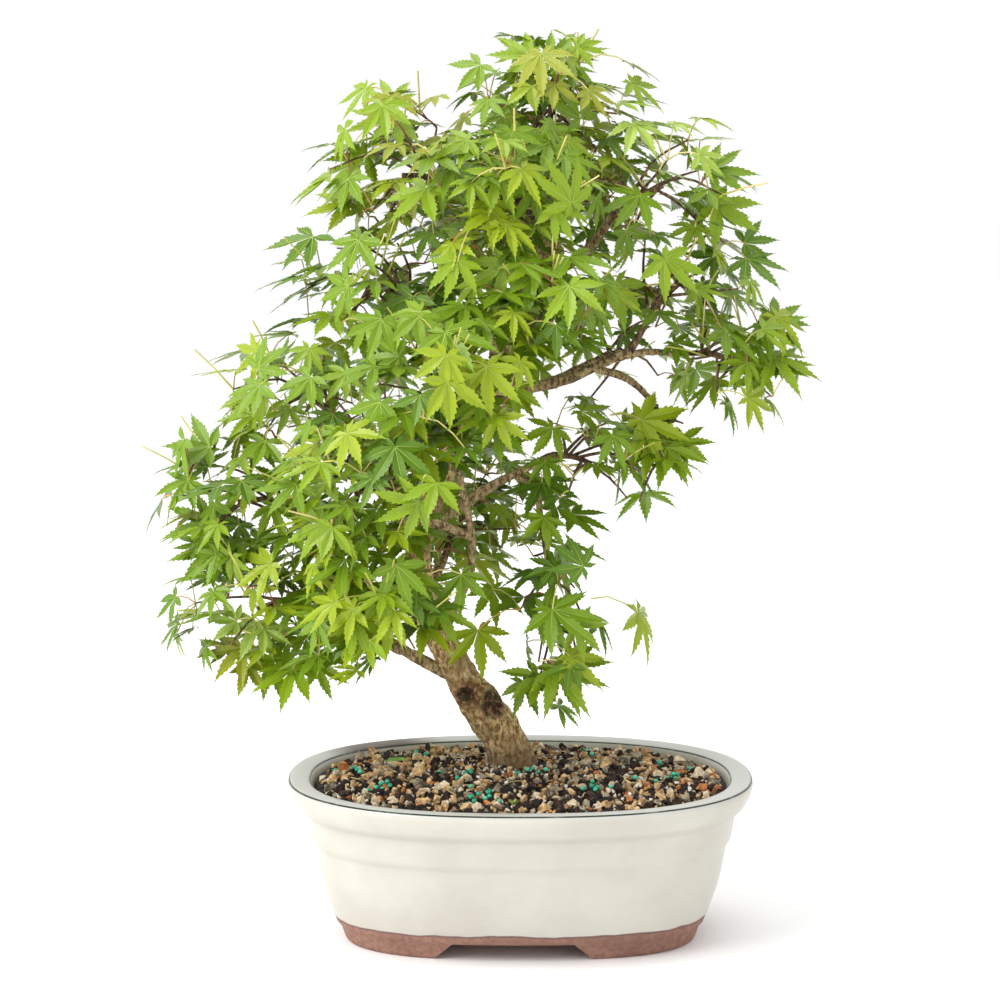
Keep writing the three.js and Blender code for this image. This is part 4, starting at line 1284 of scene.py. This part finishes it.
def set_sprig(tip, way, length, random):
    """A leaf whose tip stands at one spot, two more beside it, and the fine twig that carries them."""
    way = unit(np.array(way, float))
    base = np.array(tip, float) - way * length
    root = nearest_node(base)
    fork = base + unit(root - base) * min(18.0, 0.6 * float(np.linalg.norm(root - base)))
    set_fine_twig(root, fork, UP * 2.5)
    tint = pick_tint(base, 1.0)
    for turn, share in sprig_leaves:
        normal = unit(FRONT * 0.7 + UP * (0.3 + 0.9 * random()))
        axes = leaf_axes(way * math.cos(turn) + np.cross(normal, way) * math.sin(turn), normal)
        foot = base if turn == 0 else fork + axes[0] * (9 + 5 * random()) - UP * 2
        foot = kept_inside(foot, axes, length * share)
        set_stalk(fork, foot)
        set_leaf(foot, axes, length * share, tint, random)


for index, (name, plan) in enumerate(mass_plan.items()):
    grow_mass(index, name, *plan)
sprig_random = seeded(FIRST_SEED)
for tip, way, length in outer_sprigs:
    set_sprig(tip, way, length, sprig_random)
for x, z, lean, seen in front_leaves:
    set_front_leaf(x, z, lean, seen, sprig_random)

# A few leaves hang free of the crown: the pair out to the right, and one low on a long stalk.
# Where the stalk starts, where the leaf does, the ways its tip and its face point, and its length.
loose_leaves = [
    ((58, -24, 352), (84, -22, 343), (0.62, -0.3, -0.62), (0.35, -0.85, 0.38), 44),
    ((58, -24, 352), (78, -26, 349), (0.93, -0.2, -0.2), (0.2, -0.82, 0.5), 42),
    ((46, -30, 232), (77, -22, 221), (0.42, -0.1, -0.9), (0.86, -0.35, 0.36), 40),
]
for *vectors, length in loose_leaves:
    start, base, tip, normal = (np.array(vector, float) for vector in vectors)
    set_stalk(start, base, 0.55)
    set_leaf(base, leaf_axes(tip, unit(normal)), length, "lime_leaves", seeded(5))

for name, parts in leaf_parts.items():
    colour, roughness, _ = leaf_greens[name]
    material, shader = fine_grained(name.replace("_", " "), colour, roughness, 0.0004)
    shader.inputs["Specular IOR Level"].default_value = 0.36
    leaves = joined(name, parts, material, smooth=True)
    leaves.data.set_sharp_from_angle(angle=math.radians(16))

rib_colour, _ = fine_grained("pale leaf ribs", srgb(154, 182, 66), 0.5, 0.0002)
joined("leaf_ribs", rib_parts, rib_colour)

stalk_colours = {"straw_stalks": (srgb(222, 204, 132), srgb(188, 184, 84)),
                 "red_stalks": (srgb(166, 96, 66), srgb(196, 150, 84))}
for name, parts in stalk_parts.items():
    material, *_ = two_tone(name.replace("_", " "), 30.0, 1.0, 0.5, *stalk_colours[name])
    joined(name, parts, material)

twig_bark = effect_material("red brown twig bark", bark_skin, 320, BARK_ROUGHNESS, 0.0003, srgb(60, 42, 30),
                            srgb(116, 90, 62), srgb(164, 138, 100))
joined("twigs", twig_parts, twig_bark, smooth=True)
young_bark, *_ = two_tone("young red twigs", 40.0, 2.0, 0.55, srgb(108, 58, 44), srgb(146, 104, 62))
fine_twigs = joined("fine_twigs", fine_twig_parts, young_bark, smooth=True)
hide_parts(*mass_plan)

# Fallen bits on the soil: one dry green scrap and a tiny sprig of weed with five blades.
scrap_axes = np.array([unit(np.array([0.95, 0.2, 0.05])), unit(np.array([-0.2, 0.95, 0.1])), UP])
scrap_points = np.array([(-8, 0, 0.6), (-3, 3.2, 1.4), (4, 3.0, 1.2), (9, 0.4, 0.2), (3, -2.8, 0.8),
                         (-4, -2.6, 0.6)])
SCRAP_AT = np.array([-84.0, 14.0, 113.6])
WEED_AT = np.array([-5.0, -86.0, 107.5])
green_parts = [metres((scrap_points @ scrap_axes + SCRAP_AT, [[0, 5, 4, 3, 2, 1]]))]
for blade_index in range(5):
    angle = blade_index * 1.25
    way = np.array([math.cos(angle), math.sin(angle), 0.9]) * 4.2
    side = np.array([-math.sin(angle), math.cos(angle), 0]) * 0.9
    blade = np.array([WEED_AT, WEED_AT + way * 0.6 + side, WEED_AT + way, WEED_AT + way * 0.6 - side])
    green_parts.append(metres((blade, [[0, 3, 2, 1]])))
scrap, *_ = two_tone("green leaf scrap", 80.0, 2.0, 0.6, srgb(88, 138, 36), srgb(134, 166, 58))
joined("green_scraps", green_parts, scrap)

# STAGE
# A plain white table under a white world and soft studio light from the upper left, as in a catalogue
# photograph.
WHITE = (1.0, 1.0, 1.0, 1)
stage_white, tree, shader, _ = new_material("white stage")
paint(tree, shader, WHITE, 0.9)
bpy.ops.mesh.primitive_plane_add(size=40)
floor = bpy.context.object
floor.name = "floor"
floor.data.materials.append(stage_white)

scene = bpy.context.scene
world = bpy.data.worlds.new("studio") if scene.world is None else scene.world
scene.world = world
world.use_nodes = True
backdrop = world.node_tree.nodes["Background"]
backdrop.inputs["Color"].default_value = WHITE
backdrop.inputs["Strength"].default_value = 1.0
LIGHT_AIM = Vector((0, 0, 0.3))


def aim_at(thing, target):
    """Turn a lamp or the camera from where it stands to a spot."""
    thing.rotation_euler = (target - thing.location).to_track_quat("-Z", "Y").to_euler()


def soft_box(name, location, size, power):
    light = bpy.data.lights.new(name, "AREA")
    light.shape = "SQUARE"
    light.size = size
    light.energy = power
    lamp = bpy.data.objects.new(name, light)
    scene.collection.objects.link(lamp)
    lamp.location = location
    aim_at(lamp, LIGHT_AIM)


soft_box("key_light", (-1.9, -1.3, 1.9), 1.7, 60)
soft_box("top_light", (-0.4, 0.3, 2.4), 1.4, 14)

CAMERA_X = -13.58
CAMERA_BACK = 1697.0
CAMERA_HEIGHT = 507.4
AIM_HEIGHT = 293.2
SENSOR_WIDTH = 36
FOCAL_LENGTH = 92.93
lens = bpy.data.cameras.new("camera")
lens.sensor_width = SENSOR_WIDTH
lens.lens = FOCAL_LENGTH
camera = bpy.data.objects.new("camera", lens)
scene.collection.objects.link(camera)
camera.location = place(CAMERA_X, -CAMERA_BACK, CAMERA_HEIGHT)
aim_at(camera, place(CAMERA_X, 0, AIM_HEIGHT))
scene.camera = camera
scene.view_settings.view_transform = "Standard"
